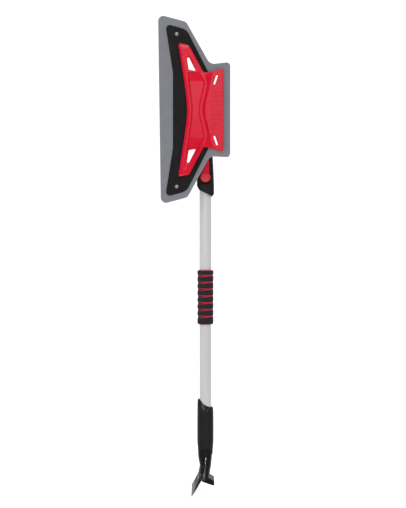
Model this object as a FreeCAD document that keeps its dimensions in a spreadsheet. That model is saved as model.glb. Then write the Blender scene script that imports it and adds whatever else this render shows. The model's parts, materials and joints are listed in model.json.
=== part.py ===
import FreeCAD, Part
import math
import os
import re
import Sketcher
from FreeCAD import Placement, Rotation, Vector

# A push-style car snow clearer: a foam head that turns on the end of an aluminium
# tube, with an ice scraper on the tube's other end. Millimetres.
# Z runs up the tube, X across the head's face and Y from the face to the back.
# The origin is on the tube's axis, half way along the hand grip.
# "Depth" below means the distance in front of the tube's axis, towards -Y.
# Outlines of the head are drawn around its pivot, which is at x = 0.

SIZES = {
    # how far a cut starts or ends beyond the solid that it cuts
    "overrun": 1,
    # tube and hand grip
    "tube_radius": 12.7, "tube_wall": 1.4, "tube_bottom": -326, "tube_top": 304,
    "grip_radius": 17.5, "grip_half": 59, "grip_rounding": 3, "slip_gap": 0.05,
    # pivot and its fasteners
    "pivot_height": 401.5, "bolt_radius": 4, "bolt_clearance": 0.06,
    "bolt_head_width": 7.5, "bolt_head_high": 5.3, "washer_radius": 8.5, "washer_thick": 1.2,
    "nut_high": 6.5, "nut_bore_radius": 11, "nut_bore_depth": 9.5, "cap_thick": 2.2,
    "cap_overlap": 1.5, "cap_plug_high": 0.9,
    # layers of the head, by depth
    "rear_frame_back": 23, "rear_plate_back": 24.5, "rear_plate_front": 27,
    "sheet_thick": 1.2, "foam_back": 28.2, "foam_thick": 16, "foam_front": 44.2,
    "frame_back": 45.4, "frame_high": 9, "frame_front": 54.4,
    # foam board outline: leaning working edge, blunt tips, inner corners, tail
    "edge_x": -100.8, "tip_z": 202.4, "foam_shoulder_x": -41, "foam_shoulder_z": 186.4,
    "low_edge_x": -95, "low_tip_z": 201.4, "low_shoulder_x": -38.4, "low_shoulder_z": 186.2,
    "nook_x": 9.8, "nook_z": 96.1, "low_nook_z": 98.2, "tail_x": 52.7, "tail_z": 100.7,
    "tip_round": 11, "foam_shoulder_round": 14, "nook_round": 16, "tail_round": 7.5,
    # stiffening sheets
    "sheet_edge_x": -68.9, "sheet_bend_z": 80, "sheet_tip_x": -85.3, "sheet_tip_z": 184,
    "sheet_shoulder_x": -40, "sheet_shoulder_z": 171.5, "sheet_inner_x": 7, "sheet_inner_z": 79,
    "sheet_tip_round": 8, "sheet_bend_round": 60, "shoulder_round": 25,
    # moulded frames
    "arm_tip_x": -57.8, "arm_tip_z": 141.5, "arm_bend_x": -46, "arm_bend_z": 66, "waist_x": -37.2,
    "waist_round": 200, "arm_shoulder_x": -34.8, "arm_shoulder_z": 137, "inner_x": -3.1,
    "inner_z": 77.5, "panel_x": 37.6, "panel_z": 88.2, "arm_tip_round": 3.5,
    "arm_shoulder_round": 7, "inner_round": 7, "panel_round": 3,
    "recess_depth": 3, "floor_depth": 2.5, "panel_drop": 3, "frame_edge_round": 1.5,
    "frame_low": 2.5, "rim_side": 8, "rear_rim_side": 6, "rim_end": 12, "rim_flank": 3,
    "waist_flat": 12, "floor_margin": 1.4,
    "hourglass_x": -3.5, "hourglass_z": 55, "ridge_x": 0.8, "ridge_z": 29, "knee_x": 4.4,
    "knee_z": 51.5,
    # openings through the head
    "gap_outer_x": -39.3, "gap_outer_z": 110.2, "gap_peak_x": -35.6, "gap_peak_z": 113,
    "gap_inner_x": -19.8, "gap_inner_z": 81.6, "gap_low_x": -35.4, "gap_low_z": 85,
    "slit_top_x": 25, "slit_top_z": 74.6, "slit_low_x": 18.2, "slit_low_z": 54.1,
    "slit_half": 2.1, "side_margin": 2.5, "end_margin": 7.5,
    # rivets and screws of the head
    "rivet_x": -61, "rivet_z": 162, "rivet_head_radius": 3.8, "rivet_head_thick": 1.4,
    "rivet_radius": 2.2, "rivet_washer_radius": 6.5, "hole_gap": 0.05, "bury": 0.5,
    "dome_share": 0.7,
    "screw_radius": 1.8, "screw_head_radius": 3.4, "screw_head_thick": 1.2,
    "arm_screw_x": -50.6, "arm_screw_z": 118, "waist_screw_x": -38.2, "waist_screw_z": 40,
    "panel_screw_x": 27, "panel_screw_z": 30, "screw_bite": 4.5,
    # index disc on the back of the head
    "disc_radius": 30, "disc_back": 14.5, "notch_half": 4.3, "notch_depth": 5,
    "notch_spread": 90, "notch_count": 3,
    "hub_radius": 27, "hub_depth": 7, "disc_screw_pitch": 17, "boss_radius": 4.2,
    "boss_high": 6, "disc_screw_sink": 1, "disc_screw_length": 16,
    # arm that holds the head on the tube
    "eye_radius": 31, "eye_front": 14.2, "eye_back": -14, "eye_round": 2.5,
    "arm_low_z": 208, "arm_low_half_x": 18.4, "arm_low_half_y": 18,
    "arm_mid_z": 262, "arm_mid_half_x": 18, "arm_mid_half_y": 18.5,
    "arm_high_z": 310, "arm_high_half_x": 15.6, "arm_high_half_y": 17.5,
    "arm_top_z": 392, "arm_top_half_x": 15, "arm_top_half_y": 15,
    "arm_forward": 1.5, "arm_high_forward": 2.5, "arm_top_forward": 5,
    "arm_corner": 11, "arm_top_corner": 6,
    "slant_left_z": 262, "slant_bend_x": -12, "slant_bend_z": 232, "slant_tip_x": 14,
    "slant_tip_z": 219.2, "slant_right_z": 238, "slant_reach": 30, "below_arm_z": 190,
    # release button, its track, spring and lock bolt
    "track_floor": 14.2, "track_half": 8.8, "track_low_z": 245, "track_top_z": 385,
    "lip_depth": 16.95, "undercut_half": 10.9, "front_reach": 30,
    "button_back": 14.5, "button_front": 20.5, "stem_half": 8.4, "stem_top_z": 362,
    "flange_half": 10.5, "flange_low_z": 264, "flange_front": 16.7,
    "thumb_z": 259.5, "thumb_radius": 11.5, "thumb_back": 17.2, "thumb_front": 22,
    "thumb_gap": 0.7, "button_travel": 7, "dish_radius": 18, "dish_sink": 3.4,
    "window_half": 3.6, "window_low_z": 307, "window_top_z": 336,
    "peg_half": 3.2, "peg_low_z": 311, "peg_top_z": 315, "peg_front": 19.6,
    "spring_radius": 2.4, "wire_radius": 0.4, "spring_turns": 7, "spring_depth": 17.4,
    "spring_slack": 0.1, "end_gap": 1,
    "lock_half": 4, "lock_low_z": 350, "lock_tip_z": 371.2, "lock_back": 15.2,
    "lock_front": 20.3, "lock_bevel": 1,
    # screws that hold both fittings on the tube
    "tube_screw_radius": 2, "tube_screw_head_radius": 4, "tube_screw_length": 9,
    "tube_screw_head_thick": 2.2, "arm_screw_low_z": 250, "arm_screw_top_z": 285,
    "scraper_screw_z": -285, "tube_screw_seat": 15.6, "seat_gap": 0.4, "sleeve_hole_radius": 4.6,
    # scraper: socket, sleeve, neck, blade and ice chipper
    "socket_radius": 14.4, "socket_top": -246, "sleeve_half": 17.4, "sleeve_mid_half": 17.6,
    "sleeve_low_half_x": 16.4, "sleeve_corner": 14.5, "sleeve_low_corner": 14,
    "sleeve_top": -205, "sleeve_mid": -290,
    "sleeve_bottom": -334, "scoop_x": 21.7, "scoop_z": -190.7, "scoop_radius": 49.6,
    "sleeve_reach": 40,
    "neck_top_half_x": 16, "neck_top_half_y": 17, "neck_corner": 13,
    "neck_waist_z": -364, "neck_waist_half_x": 12.6, "neck_waist_half_y": 17.5,
    "neck_waist_corner": 9, "neck_waist_shift": -0.8, "fan_z": -388, "fan_half_x": 10.8,
    "fan_half_y": 30.5, "fan_corner": 5, "fan_shift": -2.4,
    "blade_half": 50, "flank_reach": 60, "blade_side_z": -411, "blade_side_y": 46,
    "blade_shoulder_z": -400, "blade_shoulder_y": 40, "blade_neck_z": -370, "blade_neck_y": 19,
    "blade_root_x": -11, "blade_root_z": -378, "blade_tip_x": -30.6, "blade_tip_z": -421.3,
    "blade_under_x": -28.2, "blade_under_z": -420.4, "crotch_x": -7.4, "crotch_z": -392,
    "blade_inner_x": -2, "blade_inner_z": -378,
    "chipper_half": 20, "chipper_x": 19.3, "chipper_top_z": -395.5, "chipper_low_z": -403.6,
    "chipper_inner_z": -397, "chipper_root_x": 8.6, "chipper_root_z": -388,
    "chipper_under_x": 17.4, "chipper_under_z": -405.4,
}

TOUCH = 0.01  # how close two places are to count as the same one

doc = FreeCAD.newDocument("SnowPusher")
sheet = doc.addObject("Spreadsheet::Sheet", "Sizes")
for row, (alias, number) in enumerate(SIZES.items(), start=1):
    sheet.set("A%d" % row, alias)
    sheet.set("B%d" % row, str(number))
    sheet.setAlias("B%d" % row, alias)
doc.recompute()


def qualified(text):
    """Puts the sheet's name in front of every alias in an expression."""
    return re.sub(r"[a-z]\w+", lambda word: "Sizes." + word.group(), text)


def bind(thing, **expressions):
    """Binds properties to sheet expressions; a double underscore stands for a dot."""
    for name, text in expressions.items():
        thing.setExpression(name.replace("__", "."), qualified(text))


def size(text):
    """The present value of a sheet expression."""
    return float(sheet.evalExpression(qualified(text)))


def new_body(label, height="0"):
    """An empty body whose own origin is at the given height on the tube's axis."""
    body = doc.addObject("PartDesign::Body", "Body_" + label)
    body.Label = label
    bind(body, Placement__Base__z=height)
    return body


def new_sketch(body, name, plane, offset="0"):
    """A sketch parallel to one of the body's origin planes, offset along its normal."""
    sketch = body.newObject("Sketcher::SketchObject", name)
    support = [item for item in body.Origin.OriginFeatures if item.Role == plane][0]
    sketch.AttachmentSupport = (support, [""])
    sketch.MapMode = "FlatFace"
    bind(sketch, AttachmentOffset__Base__z=offset)
    return sketch


def hold(sketch, kind, geometry, point, text):
    """Fixes one coordinate of a point, measured from the sketch's origin."""
    if text == "0":
        axis = -2 if kind == "DistanceX" else -1
        sketch.addConstraint(Sketcher.Constraint("PointOnObject", geometry, point, axis))
        return
    rule = Sketcher.Constraint(kind, -1, 1, geometry, point, size(text))
    index = sketch.addConstraint(rule)
    sketch.setExpression("Constraints[%d]" % index, qualified(text))


def draw_polygon(sketch, corners):
    """Adds a closed straight-sided loop; each corner is a pair of expressions."""
    places = [Vector(size(x), size(y), 0) for x, y in corners]
    first = sketch.GeometryCount
    count = len(places)
    for i in range(count):
        sketch.addGeometry(Part.LineSegment(places[i], places[(i + 1) % count]), False)
    for i in range(count):
        follower = first + (i + 1) % count
        sketch.addConstraint(Sketcher.Constraint("Coincident", first + i, 2, follower, 1))
    for i, (x, y) in enumerate(corners):
        hold(sketch, "DistanceX", first + i, 1, x)
        hold(sketch, "DistanceY", first + i, 1, y)


def draw_circle(sketch, x, y, radius):
    """Adds a circle with its centre and radius bound to the sheet."""
    centre = Vector(size(x), size(y), 0)
    index = sketch.addGeometry(Part.Circle(centre, Vector(0, 0, 1), size(radius)), False)
    rule = sketch.addConstraint(Sketcher.Constraint("Radius", index, size(radius)))
    sketch.setExpression("Constraints[%d]" % rule, qualified(radius))
    hold(sketch, "DistanceX", index, 3, x)
    hold(sketch, "DistanceY", index, 3, y)


def flipped(corners):
    """The same corners on the other side of the horizontal axis, in reverse order."""
    return [(x, y if y == "0" else "-(%s)" % y) for x, y in reversed(corners)]


def mirrored(corners):
    """A loop symmetric about the horizontal axis, from the corners of its upper half."""
    return corners + [pair for pair in flipped(corners) if pair[1] != "0"]


def rectangle(half, low, high):
    """Corners of an upright rectangle centred on x = 0."""
    return [("-" + half, low), (half, low), (half, high), ("-" + half, high)]


def rounded_section(body, name, height, half_x, half_y, corner, shift=("0", "0")):
    """A horizontal rectangle with rounded corners, for a loft."""
    sketch = new_sketch(body, name, "XY_Plane", height)
    radius = size(corner)
    reach_x = size(half_x) - radius
    reach_y = size(half_y) - radius
    for i, (side_x, side_y) in enumerate(((1, 1), (-1, 1), (-1, -1), (1, -1))):
        centre = Vector(size(shift[0]) + side_x * reach_x, size(shift[1]) + side_y * reach_y, 0)
        circle = Part.Circle(centre, Vector(0, 0, 1), radius)
        start = i * math.pi / 2
        sketch.addGeometry(Part.ArcOfCircle(circle, start, start + math.pi / 2), False)
    for i in range(4):
        start = sketch.Geometry[i].EndPoint
        end = sketch.Geometry[(i + 1) % 4].StartPoint
        sketch.addGeometry(Part.LineSegment(start, end), False)
    for i in range(4):
        sketch.addConstraint(Sketcher.Constraint("Tangent", i, 2, 4 + i, 1))
        sketch.addConstraint(Sketcher.Constraint("Tangent", 4 + i, 2, (i + 1) % 4, 1))
    for i in range(1, 4):
        sketch.addConstraint(Sketcher.Constraint("Equal", 0, i))
    sketch.addConstraint(Sketcher.Constraint("Horizontal", 4))
    sketch.addConstraint(Sketcher.Constraint("Vertical", 5))
    rule = sketch.addConstraint(Sketcher.Constraint("Radius", 0, radius))
    sketch.setExpression("Constraints[%d]" % rule, qualified(corner))
    hold(sketch, "DistanceX", 7, 1, "%s + %s" % (shift[0], half_x))
    hold(sketch, "DistanceX", 5, 1, "%s - %s" % (shift[0], half_x))
    hold(sketch, "DistanceY", 4, 1, "%s + %s" % (shift[1], half_y))
    hold(sketch, "DistanceY", 6, 1, "%s - %s" % (shift[1], half_y))
    return sketch


def pad(body, sketch, length):
    """Adds material along the sketch's normal."""
    feature = body.newObject("PartDesign::Pad", sketch.Name + "_Pad")
    feature.Profile = sketch
    bind(feature, Length=length)
    doc.recompute()
    return feature


def cut(body, sketch, length=None, forward=False):
    """Removes material behind the sketch, or in front of it, or right through."""
    before = body.Shape.Volume
    feature = body.newObject("PartDesign::Pocket", sketch.Name + "_Cut")
    feature.Profile = sketch
    if length:
        bind(feature, Length=length)
        feature.Reversed = forward
    else:
        feature.Type = "ThroughAll"
        feature.Midplane = True
    doc.recompute()
    if body.Shape.Volume >= before:
        raise RuntimeError(feature.Name + " removed nothing")
    return feature


def fillet(body, radius, chosen):
    """Rounds the edges of the body's tip that the `chosen` test picks."""
    base = body.Tip
    names = ["Edge%d" % i for i, edge in enumerate(base.Shape.Edges, start=1) if chosen(edge)]
    if not names:
        raise RuntimeError("no edge to round on " + body.Label)
    feature = body.newObject("PartDesign::Fillet", "Round_" + radius)
    feature.Base = (base, names)
    bind(feature, Radius=radius)
    doc.recompute()


def round_corners(body, corners, radius):
    """Rounds the outline of a layer of the head at the given corners."""
    places = [(size(x), size(z)) for x, z in corners]

    def stands_on_corner(edge):
        ends = [vertex.Point for vertex in edge.Vertexes]
        return len(ends) == 2 and any(
            all(abs(end.x - x) < TOUCH and abs(end.z - z) < TOUCH for end in ends) for x, z in places)

    fillet(body, radius, stands_on_corner)


def round_circles(body, circle_radius, radius, level=None):
    """Rounds full circles of one radius, or only those in the plane at y = level."""
    def fits(edge):
        if not edge.isClosed() or not isinstance(edge.Curve, Part.Circle):
            return False
        if abs(edge.Curve.Radius - size(circle_radius)) > TOUCH:
            return False
        return level is None or abs(edge.Curve.Center.y - size(level)) < TOUCH

    fillet(body, radius, fits)


def round_rim(body, radius, depth):
    """Rounds the outer rim of the face at the given depth."""
    level = -size(depth)
    faces = [face for face in body.Tip.Shape.Faces
             if face.BoundBox.YLength < TOUCH and abs(face.BoundBox.YMin - level) < TOUCH]
    rim = max(faces, key=lambda face: face.Area).OuterWire.Edges
    fillet(body, radius, lambda edge: any(edge.isSame(other) for other in rim))


def both(*corners):
    """Corners together with their mirror images below the pivot."""
    return list(corners) + flipped(list(corners))


def rod(name, radius, depth, length, x="0", z="0"):
    """A cylinder that points to the front, from the given depth."""
    item = doc.addObject("Part::Cylinder", name)
    item.Placement = Placement(Vector(0, 0, 0), Rotation(Vector(1, 0, 0), 90))
    bind(item, Radius=radius, Height=length, Placement__Base__x=x)
    bind(item, Placement__Base__y="-(%s)" % depth, Placement__Base__z=z)
    return item


def hexagon(name, width, depth, length, z):
    """A six-sided bar that points to the front; width is from centre to corner."""
    item = doc.addObject("Part::Prism", name)
    item.Polygon = 6
    item.Placement = Placement(Vector(0, 0, 0), Rotation(Vector(1, 0, 0), 90))
    bind(item, Circumradius=width, Height=length)
    bind(item, Placement__Base__y="-(%s)" % depth, Placement__Base__z=z)
    return item


def dome(name, radius, depth, height, x="0", z="0"):
    """A low round head that bulges to the front; a negative height bulges to the back."""
    back = depth if not height.startswith("-") else "%s - %s" % (depth, height[1:])
    ball = doc.addObject("Part::Sphere", name + "_ball")
    rise = "(dome_share * (%s))" % height
    crown = "((%s)^2 + %s^2) / (2 * %s)" % (radius, rise, rise)
    bind(ball, Radius=crown if back == depth else "-1 * " + crown, Placement__Base__x=x)
    bind(ball, Placement__Base__y="%s - (%s) - (%s)" % (crown, depth, height), Placement__Base__z=z)
    item = doc.addObject("Part::Common", name)
    item.Base = rod(name + "_rod", radius, back, height.lstrip("-"), x, z)
    item.Tool = ball
    return item


def joined(label, pieces):
    """One node from several primitives; pieces that don't touch stay separate solids."""
    item = doc.addObject("Part::MultiFuse", "Node_" + label)
    item.Label = label
    item.Shapes = pieces
    return item


def bored(label, outer, inner):
    """One node: a primitive with another one cut out of it."""
    item = doc.addObject("Part::Cut", "Node_" + label)
    item.Label = label
    item.Base = outer
    item.Tool = inner
    return item


# Outlines of the head's layers, from the pivot. The foam's two ends differ a little;
# the other layers are symmetric, and their corners are those of the upper half.

FOAM_TOP = [("edge_x", "tip_z"), ("foam_shoulder_x", "foam_shoulder_z"),
            ("nook_x", "nook_z"), ("tail_x", "tail_z")]

FOAM_LOW = [("low_edge_x", "-low_tip_z"), ("low_shoulder_x", "-low_shoulder_z"),
            ("nook_x", "-low_nook_z"), ("tail_x", "-tail_z")]

SHEET_OUTLINE = [("sheet_edge_x", "sheet_bend_z"), ("sheet_tip_x", "sheet_tip_z"),
                 ("sheet_shoulder_x", "sheet_shoulder_z"), ("sheet_inner_x", "sheet_inner_z")]

FRAME_OUTLINE = [("waist_x", "0"), ("arm_bend_x", "arm_bend_z"), ("arm_tip_x", "arm_tip_z"),
                 ("arm_shoulder_x", "arm_shoulder_z"), ("inner_x", "inner_z"), ("panel_x", "panel_z")]


def lowered(places):
    """Places moved down from the pivot to the middle of the head's front layers."""
    return [(x, "%s - frame_low" % z) for x, z in places]


RIM_SCREWS = lowered(both(("arm_screw_x", "arm_screw_z"), ("waist_screw_x", "waist_screw_z")))

PANEL_SCREWS = lowered(both(("panel_screw_x", "panel_screw_z")))

FRAME_SCREWS = RIM_SCREWS + PANEL_SCREWS

RIVETS = lowered(both(("rivet_x", "rivet_z")))

DISC_SCREWS = [("disc_screw_pitch", "0"), ("-disc_screw_pitch", "0"),
               ("0", "disc_screw_pitch"), ("0", "-disc_screw_pitch")]


def gap_outline(side, end):
    """The upper gap in an arm, widened to its sides and to its ends."""
    return [("gap_low_x - %s" % side, "gap_low_z - %s" % end),
            ("gap_outer_x - %s" % side, "gap_outer_z + %s" % end),
            ("gap_peak_x + %s" % side, "gap_peak_z + %s" % end),
            ("gap_inner_x + %s" % side, "gap_inner_z - %s" % end)]


def slit_outline(side, end):
    """The upper slanted slit in the panel, widened to its sides and to its ends."""
    half = "(slit_half + %s)" % side
    return [("slit_low_x - " + half, "slit_low_z - %s" % end),
            ("slit_low_x + " + half, "slit_low_z - %s" % end),
            ("slit_top_x + " + half, "slit_top_z + %s" % end),
            ("slit_top_x - " + half, "slit_top_z + %s" % end)]


def cut_openings(body, side="side_margin", end="end_margin"):
    """The four openings that pass right through the head."""
    sketch = new_sketch(body, "Openings", "XZ_Plane")
    for outline in (gap_outline(side, end), slit_outline(side, end)):
        draw_polygon(sketch, outline)
        draw_polygon(sketch, flipped(outline))
    cut(body, sketch)


def cut_round_holes(body, name, places, radius, drop="0"):
    """Round holes right through a layer of the head that sits `drop` below the pivot."""
    sketch = new_sketch(body, name, "XZ_Plane")
    for x, z in places:
        draw_circle(sketch, x, "%s + %s" % (z, drop), radius)
    cut(body, sketch)


def make_foam_board():
    body = new_body("foam_board", "pivot_height")
    sketch = new_sketch(body, "Foam_Outline", "XZ_Plane", "foam_back")
    draw_polygon(sketch, FOAM_TOP + FOAM_LOW[::-1])
    pad(body, sketch, "foam_thick")
    radii = ("tip_round", "foam_shoulder_round", "nook_round", "tail_round")
    for top, low, radius in zip(FOAM_TOP, FOAM_LOW, radii):
        round_corners(body, [top, low], radius)
    cut_openings(body)
    cut_round_holes(body, "Rivet_Holes", RIVETS, "rivet_radius + hole_gap")
    cut_round_holes(body, "Screw_Holes", FRAME_SCREWS, "screw_radius + hole_gap")
    hub = new_sketch(body, "Hub_Recess", "XZ_Plane", "foam_back")
    draw_circle(hub, "0", "0", "hub_radius")
    cut(body, hub, "hub_depth", forward=True)
    return body


def make_sheet(label, depth, drop="0"):
    """A thin black sheet that spreads the load of the frame over the foam."""
    body = new_body(label, "pivot_height - %s" % drop)
    sketch = new_sketch(body, "Sheet_Outline", "XZ_Plane", depth)
    draw_polygon(sketch, mirrored(SHEET_OUTLINE))
    pad(body, sketch, "sheet_thick")
    round_corners(body, both(SHEET_OUTLINE[1]), "sheet_tip_round")
    round_corners(body, both(SHEET_OUTLINE[2]), "shoulder_round")
    round_corners(body, both(SHEET_OUTLINE[0]), "sheet_bend_round")
    cut_openings(body)
    cut_round_holes(body, "Rivet_Holes", RIVETS, "rivet_radius + hole_gap", drop)
    cut_round_holes(body, "Screw_Holes", FRAME_SCREWS, "screw_radius + hole_gap", drop)
    return body


def make_front_sheet():
    return make_sheet("front_sheet", "foam_front", "frame_low")


def make_rear_sheet():
    body = make_sheet("rear_sheet", "rear_plate_front")
    hub = new_sketch(body, "Hub_Hole", "XZ_Plane")
    draw_circle(hub, "0", "0", "hub_radius")
    cut(body, hub)
    return body


def round_frame(body):
    """Rounds the outline that both moulded frames share."""
    round_corners(body, [FRAME_OUTLINE[0]], "waist_round")
    round_corners(body, both(FRAME_OUTLINE[2]), "arm_tip_round")
    round_corners(body, both(FRAME_OUTLINE[3]), "arm_shoulder_round")
    round_corners(body, both(FRAME_OUTLINE[4]), "inner_round")
    round_corners(body, both(FRAME_OUTLINE[5]), "panel_round")


def make_front_frame():
    """Red moulding on the face: a raised rim round an hourglass recess, and a flat panel.

    Its middle sits a little below the pivot, from which its screws are placed."""
    body = new_body("front_frame", "pivot_height - frame_low")
    sketch = new_sketch(body, "Frame_Outline", "XZ_Plane", "frame_back")
    draw_polygon(sketch, mirrored(FRAME_OUTLINE))
    pad(body, sketch, "frame_high")
    round_frame(body)
    round_rim(body, "frame_edge_round", "frame_front")
    recess = new_sketch(body, "Recess", "XZ_Plane", "frame_front")
    draw_polygon(recess, mirrored([
        ("waist_x + rim_side", "waist_flat"), ("arm_bend_x + rim_side", "arm_bend_z"),
        ("arm_tip_x + rim_side", "arm_tip_z - rim_end"),
        ("arm_shoulder_x - rim_flank", "arm_shoulder_z - rim_end"),
        ("hourglass_x - floor_margin", "hourglass_z + rim_side"), ("hourglass_x", "hourglass_z"),
        ("hourglass_x - rim_side", "waist_flat")]))
    cut(body, recess, "recess_depth")
    floor = new_sketch(body, "Floor", "XZ_Plane", "frame_front - recess_depth")
    draw_polygon(floor, mirrored([
        ("waist_x + rim_side + floor_margin", "waist_flat"),
        ("arm_bend_x + rim_side + floor_margin", "arm_bend_z - floor_margin"),
        ("hourglass_x - floor_margin", "hourglass_z"),
        ("hourglass_x - rim_side - floor_margin", "waist_flat")]))
    cut(body, floor, "floor_depth")
    panel = new_sketch(body, "Panel", "XZ_Plane", "frame_front")
    draw_polygon(panel, mirrored([
        ("ridge_x", "ridge_z"), ("knee_x", "knee_z"), ("knee_x - rim_flank", "inner_z + rim_flank"),
        ("tail_x", "tail_z")]))
    cut(body, panel, "panel_drop")
    cut_openings(body, "0", "0")
    screws = new_sketch(body, "Screw_Holes", "XZ_Plane", "frame_back")
    for x, z in FRAME_SCREWS:
        draw_circle(screws, x, "%s + frame_low" % z, "screw_radius + hole_gap")
    cut(body, screws, "screw_bite", forward=True)
    return body


def make_rear_frame():
    """Red moulding behind the head, with a raised rim and bosses for the disc's screws."""
    body = new_body("rear_frame", "pivot_height")
    sketch = new_sketch(body, "Frame_Outline", "XZ_Plane", "rear_frame_back")
    draw_polygon(sketch, mirrored(FRAME_OUTLINE))
    pad(body, sketch, "rear_plate_front - rear_frame_back")
    round_frame(body)
    sunk = new_sketch(body, "Sunk_Face", "XZ_Plane", "rear_frame_back")
    draw_polygon(sunk, mirrored([
        ("waist_x + rear_rim_side", "waist_flat"), ("arm_bend_x + rear_rim_side", "arm_bend_z"),
        ("arm_tip_x + rear_rim_side", "arm_tip_z - rim_end"),
        ("arm_shoulder_x - rim_flank", "arm_shoulder_z - rim_end"),
        ("inner_x", "inner_z - rim_flank"), ("panel_x - rim_flank", "panel_z - rim_flank")]))
    cut(body, sunk, "rear_plate_back - rear_frame_back", forward=True)
    bosses = new_sketch(body, "Bosses", "XZ_Plane", "rear_plate_front")
    for x, z in DISC_SCREWS:
        draw_circle(bosses, x, z, "boss_radius")
    pad(body, bosses, "boss_high")
    cut_openings(body)
    cut_round_holes(body, "Screw_Holes", FRAME_SCREWS, "screw_radius + hole_gap")
    cut_round_holes(body, "Disc_Screw_Holes", DISC_SCREWS, "screw_radius + hole_gap")
    cut_round_holes(body, "Bolt_Hole", [("0", "0")], "bolt_radius + bolt_clearance")
    return body


def make_index_disc():
    """Thick disc with three rim notches a half right angle apart for the lock bolt."""
    body = new_body("index_disc", "pivot_height")
    sketch = new_sketch(body, "Disc", "XZ_Plane", "disc_back")
    draw_circle(sketch, "0", "0", "disc_radius")
    draw_circle(sketch, "0", "0", "bolt_radius + bolt_clearance")
    pad(body, sketch, "rear_plate_back - disc_back")
    cut_round_holes(body, "Screw_Holes", DISC_SCREWS, "screw_radius + hole_gap")
    heads = new_sketch(body, "Screw_Heads", "XZ_Plane", "disc_back")
    for x, z in DISC_SCREWS:
        draw_circle(heads, x, z, "screw_head_radius + hole_gap")
    cut(body, heads, "screw_head_thick + disc_screw_sink", forward=True)
    notch = new_sketch(body, "Notch", "XZ_Plane")
    draw_polygon(notch, rectangle("notch_half", "-disc_radius - notch_depth", "notch_depth - disc_radius"))
    first = cut(body, notch)
    pattern = body.newObject("PartDesign::PolarPattern", "Notches")
    pattern.Originals = [first]
    pattern.Axis = (notch, ["N_Axis"])
    bind(pattern, Angle="notch_spread")
    pattern.Occurrences = int(size("notch_count"))
    body.Tip = pattern
    doc.recompute()
    return body


def make_tube():
    body = new_body("tube")
    sketch = new_sketch(body, "Tube_Ring", "XY_Plane", "tube_bottom")
    draw_circle(sketch, "0", "0", "tube_radius")
    draw_circle(sketch, "0", "0", "tube_radius - tube_wall")
    pad(body, sketch, "tube_top - tube_bottom")
    holes = new_sketch(body, "Screw_Holes", "XZ_Plane")
    for height in ("arm_screw_low_z", "arm_screw_top_z", "scraper_screw_z"):
        draw_circle(holes, "0", height, "tube_screw_radius + hole_gap")
    cut(body, holes, "tube_radius + overrun")
    return body


def make_foam_grip():
    body = new_body("foam_grip")
    sketch = new_sketch(body, "Grip_Ring", "XY_Plane", "-grip_half")
    draw_circle(sketch, "0", "0", "grip_radius")
    draw_circle(sketch, "0", "0", "tube_radius + slip_gap")
    pad(body, sketch, "2 * grip_half")
    round_circles(body, "grip_radius", "grip_rounding")
    return body


def loft(body, sections):
    feature = body.newObject("PartDesign::AdditiveLoft", "Loft")
    feature.Profile = sections[0]
    feature.Sections = sections[1:]
    doc.recompute()
    return feature


def make_arm():
    """Black moulding: socket on the tube, track for the button and eye for the pivot."""
    body = new_body("head_arm")
    forward = ("0", "-arm_forward")
    loft(body, [
        rounded_section(body, "Arm_Low", "arm_low_z", "arm_low_half_x", "arm_low_half_y",
                        "arm_corner", forward),
        rounded_section(body, "Arm_Mid", "arm_mid_z", "arm_mid_half_x", "arm_mid_half_y",
                        "arm_corner", forward),
        rounded_section(body, "Arm_High", "arm_high_z", "arm_high_half_x", "arm_high_half_y",
                        "arm_corner", ("0", "-arm_high_forward")),
        rounded_section(body, "Arm_Top", "arm_top_z", "arm_top_half_x", "arm_top_half_y",
                        "arm_top_corner", ("0", "-arm_top_forward"))])
    eye = new_sketch(body, "Eye", "XZ_Plane", "eye_back")
    draw_circle(eye, "0", "pivot_height", "eye_radius")
    pad(body, eye, "eye_front - eye_back")
    round_circles(body, "eye_radius", "eye_round", "-eye_back")
    swing = new_sketch(body, "Disc_Room", "XZ_Plane", "eye_front")
    draw_circle(swing, "0", "pivot_height", "eye_radius")
    cut(body, swing, "front_reach", forward=True)
    bore = new_sketch(body, "Tube_Bore", "XY_Plane", "below_arm_z")
    draw_circle(bore, "0", "0", "tube_radius + slip_gap")
    cut(body, bore, "tube_top - below_arm_z", forward=True)
    slant = new_sketch(body, "Slant", "XZ_Plane")
    draw_polygon(slant, [("-slant_reach", "below_arm_z"), ("slant_reach", "below_arm_z"),
                         ("slant_reach", "slant_right_z"), ("slant_tip_x", "slant_tip_z"),
                         ("slant_bend_x", "slant_bend_z"), ("-slant_reach", "slant_left_z")])
    cut(body, slant)
    cut_track(body)
    cut_arm_holes(body)
    return body


def cut_track(body):
    """Track for the release button: an undercut slot, a thumb recess and a spring peg."""
    slot = new_sketch(body, "Track", "XZ_Plane", "front_reach")
    draw_polygon(slot, rectangle("track_half", "track_low_z", "track_top_z"))
    cut(body, slot, "front_reach - track_floor")
    undercut = new_sketch(body, "Undercut", "XZ_Plane", "lip_depth")
    low = "flange_low_z - button_travel - end_gap"
    draw_polygon(undercut, rectangle("undercut_half", low, "track_top_z"))
    cut(body, undercut, "lip_depth - track_floor")
    for name, height in (("Thumb_High", "thumb_z"), ("Thumb_Low", "thumb_z - button_travel")):
        recess = new_sketch(body, name, "XZ_Plane", "front_reach")
        draw_circle(recess, "0", height, "thumb_radius + thumb_gap")
        cut(body, recess, "front_reach - lip_depth")
    peg = new_sketch(body, "Peg", "XZ_Plane", "track_floor")
    draw_polygon(peg, rectangle("peg_half", "peg_low_z", "peg_top_z"))
    pad(body, peg, "peg_front - track_floor")


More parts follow.
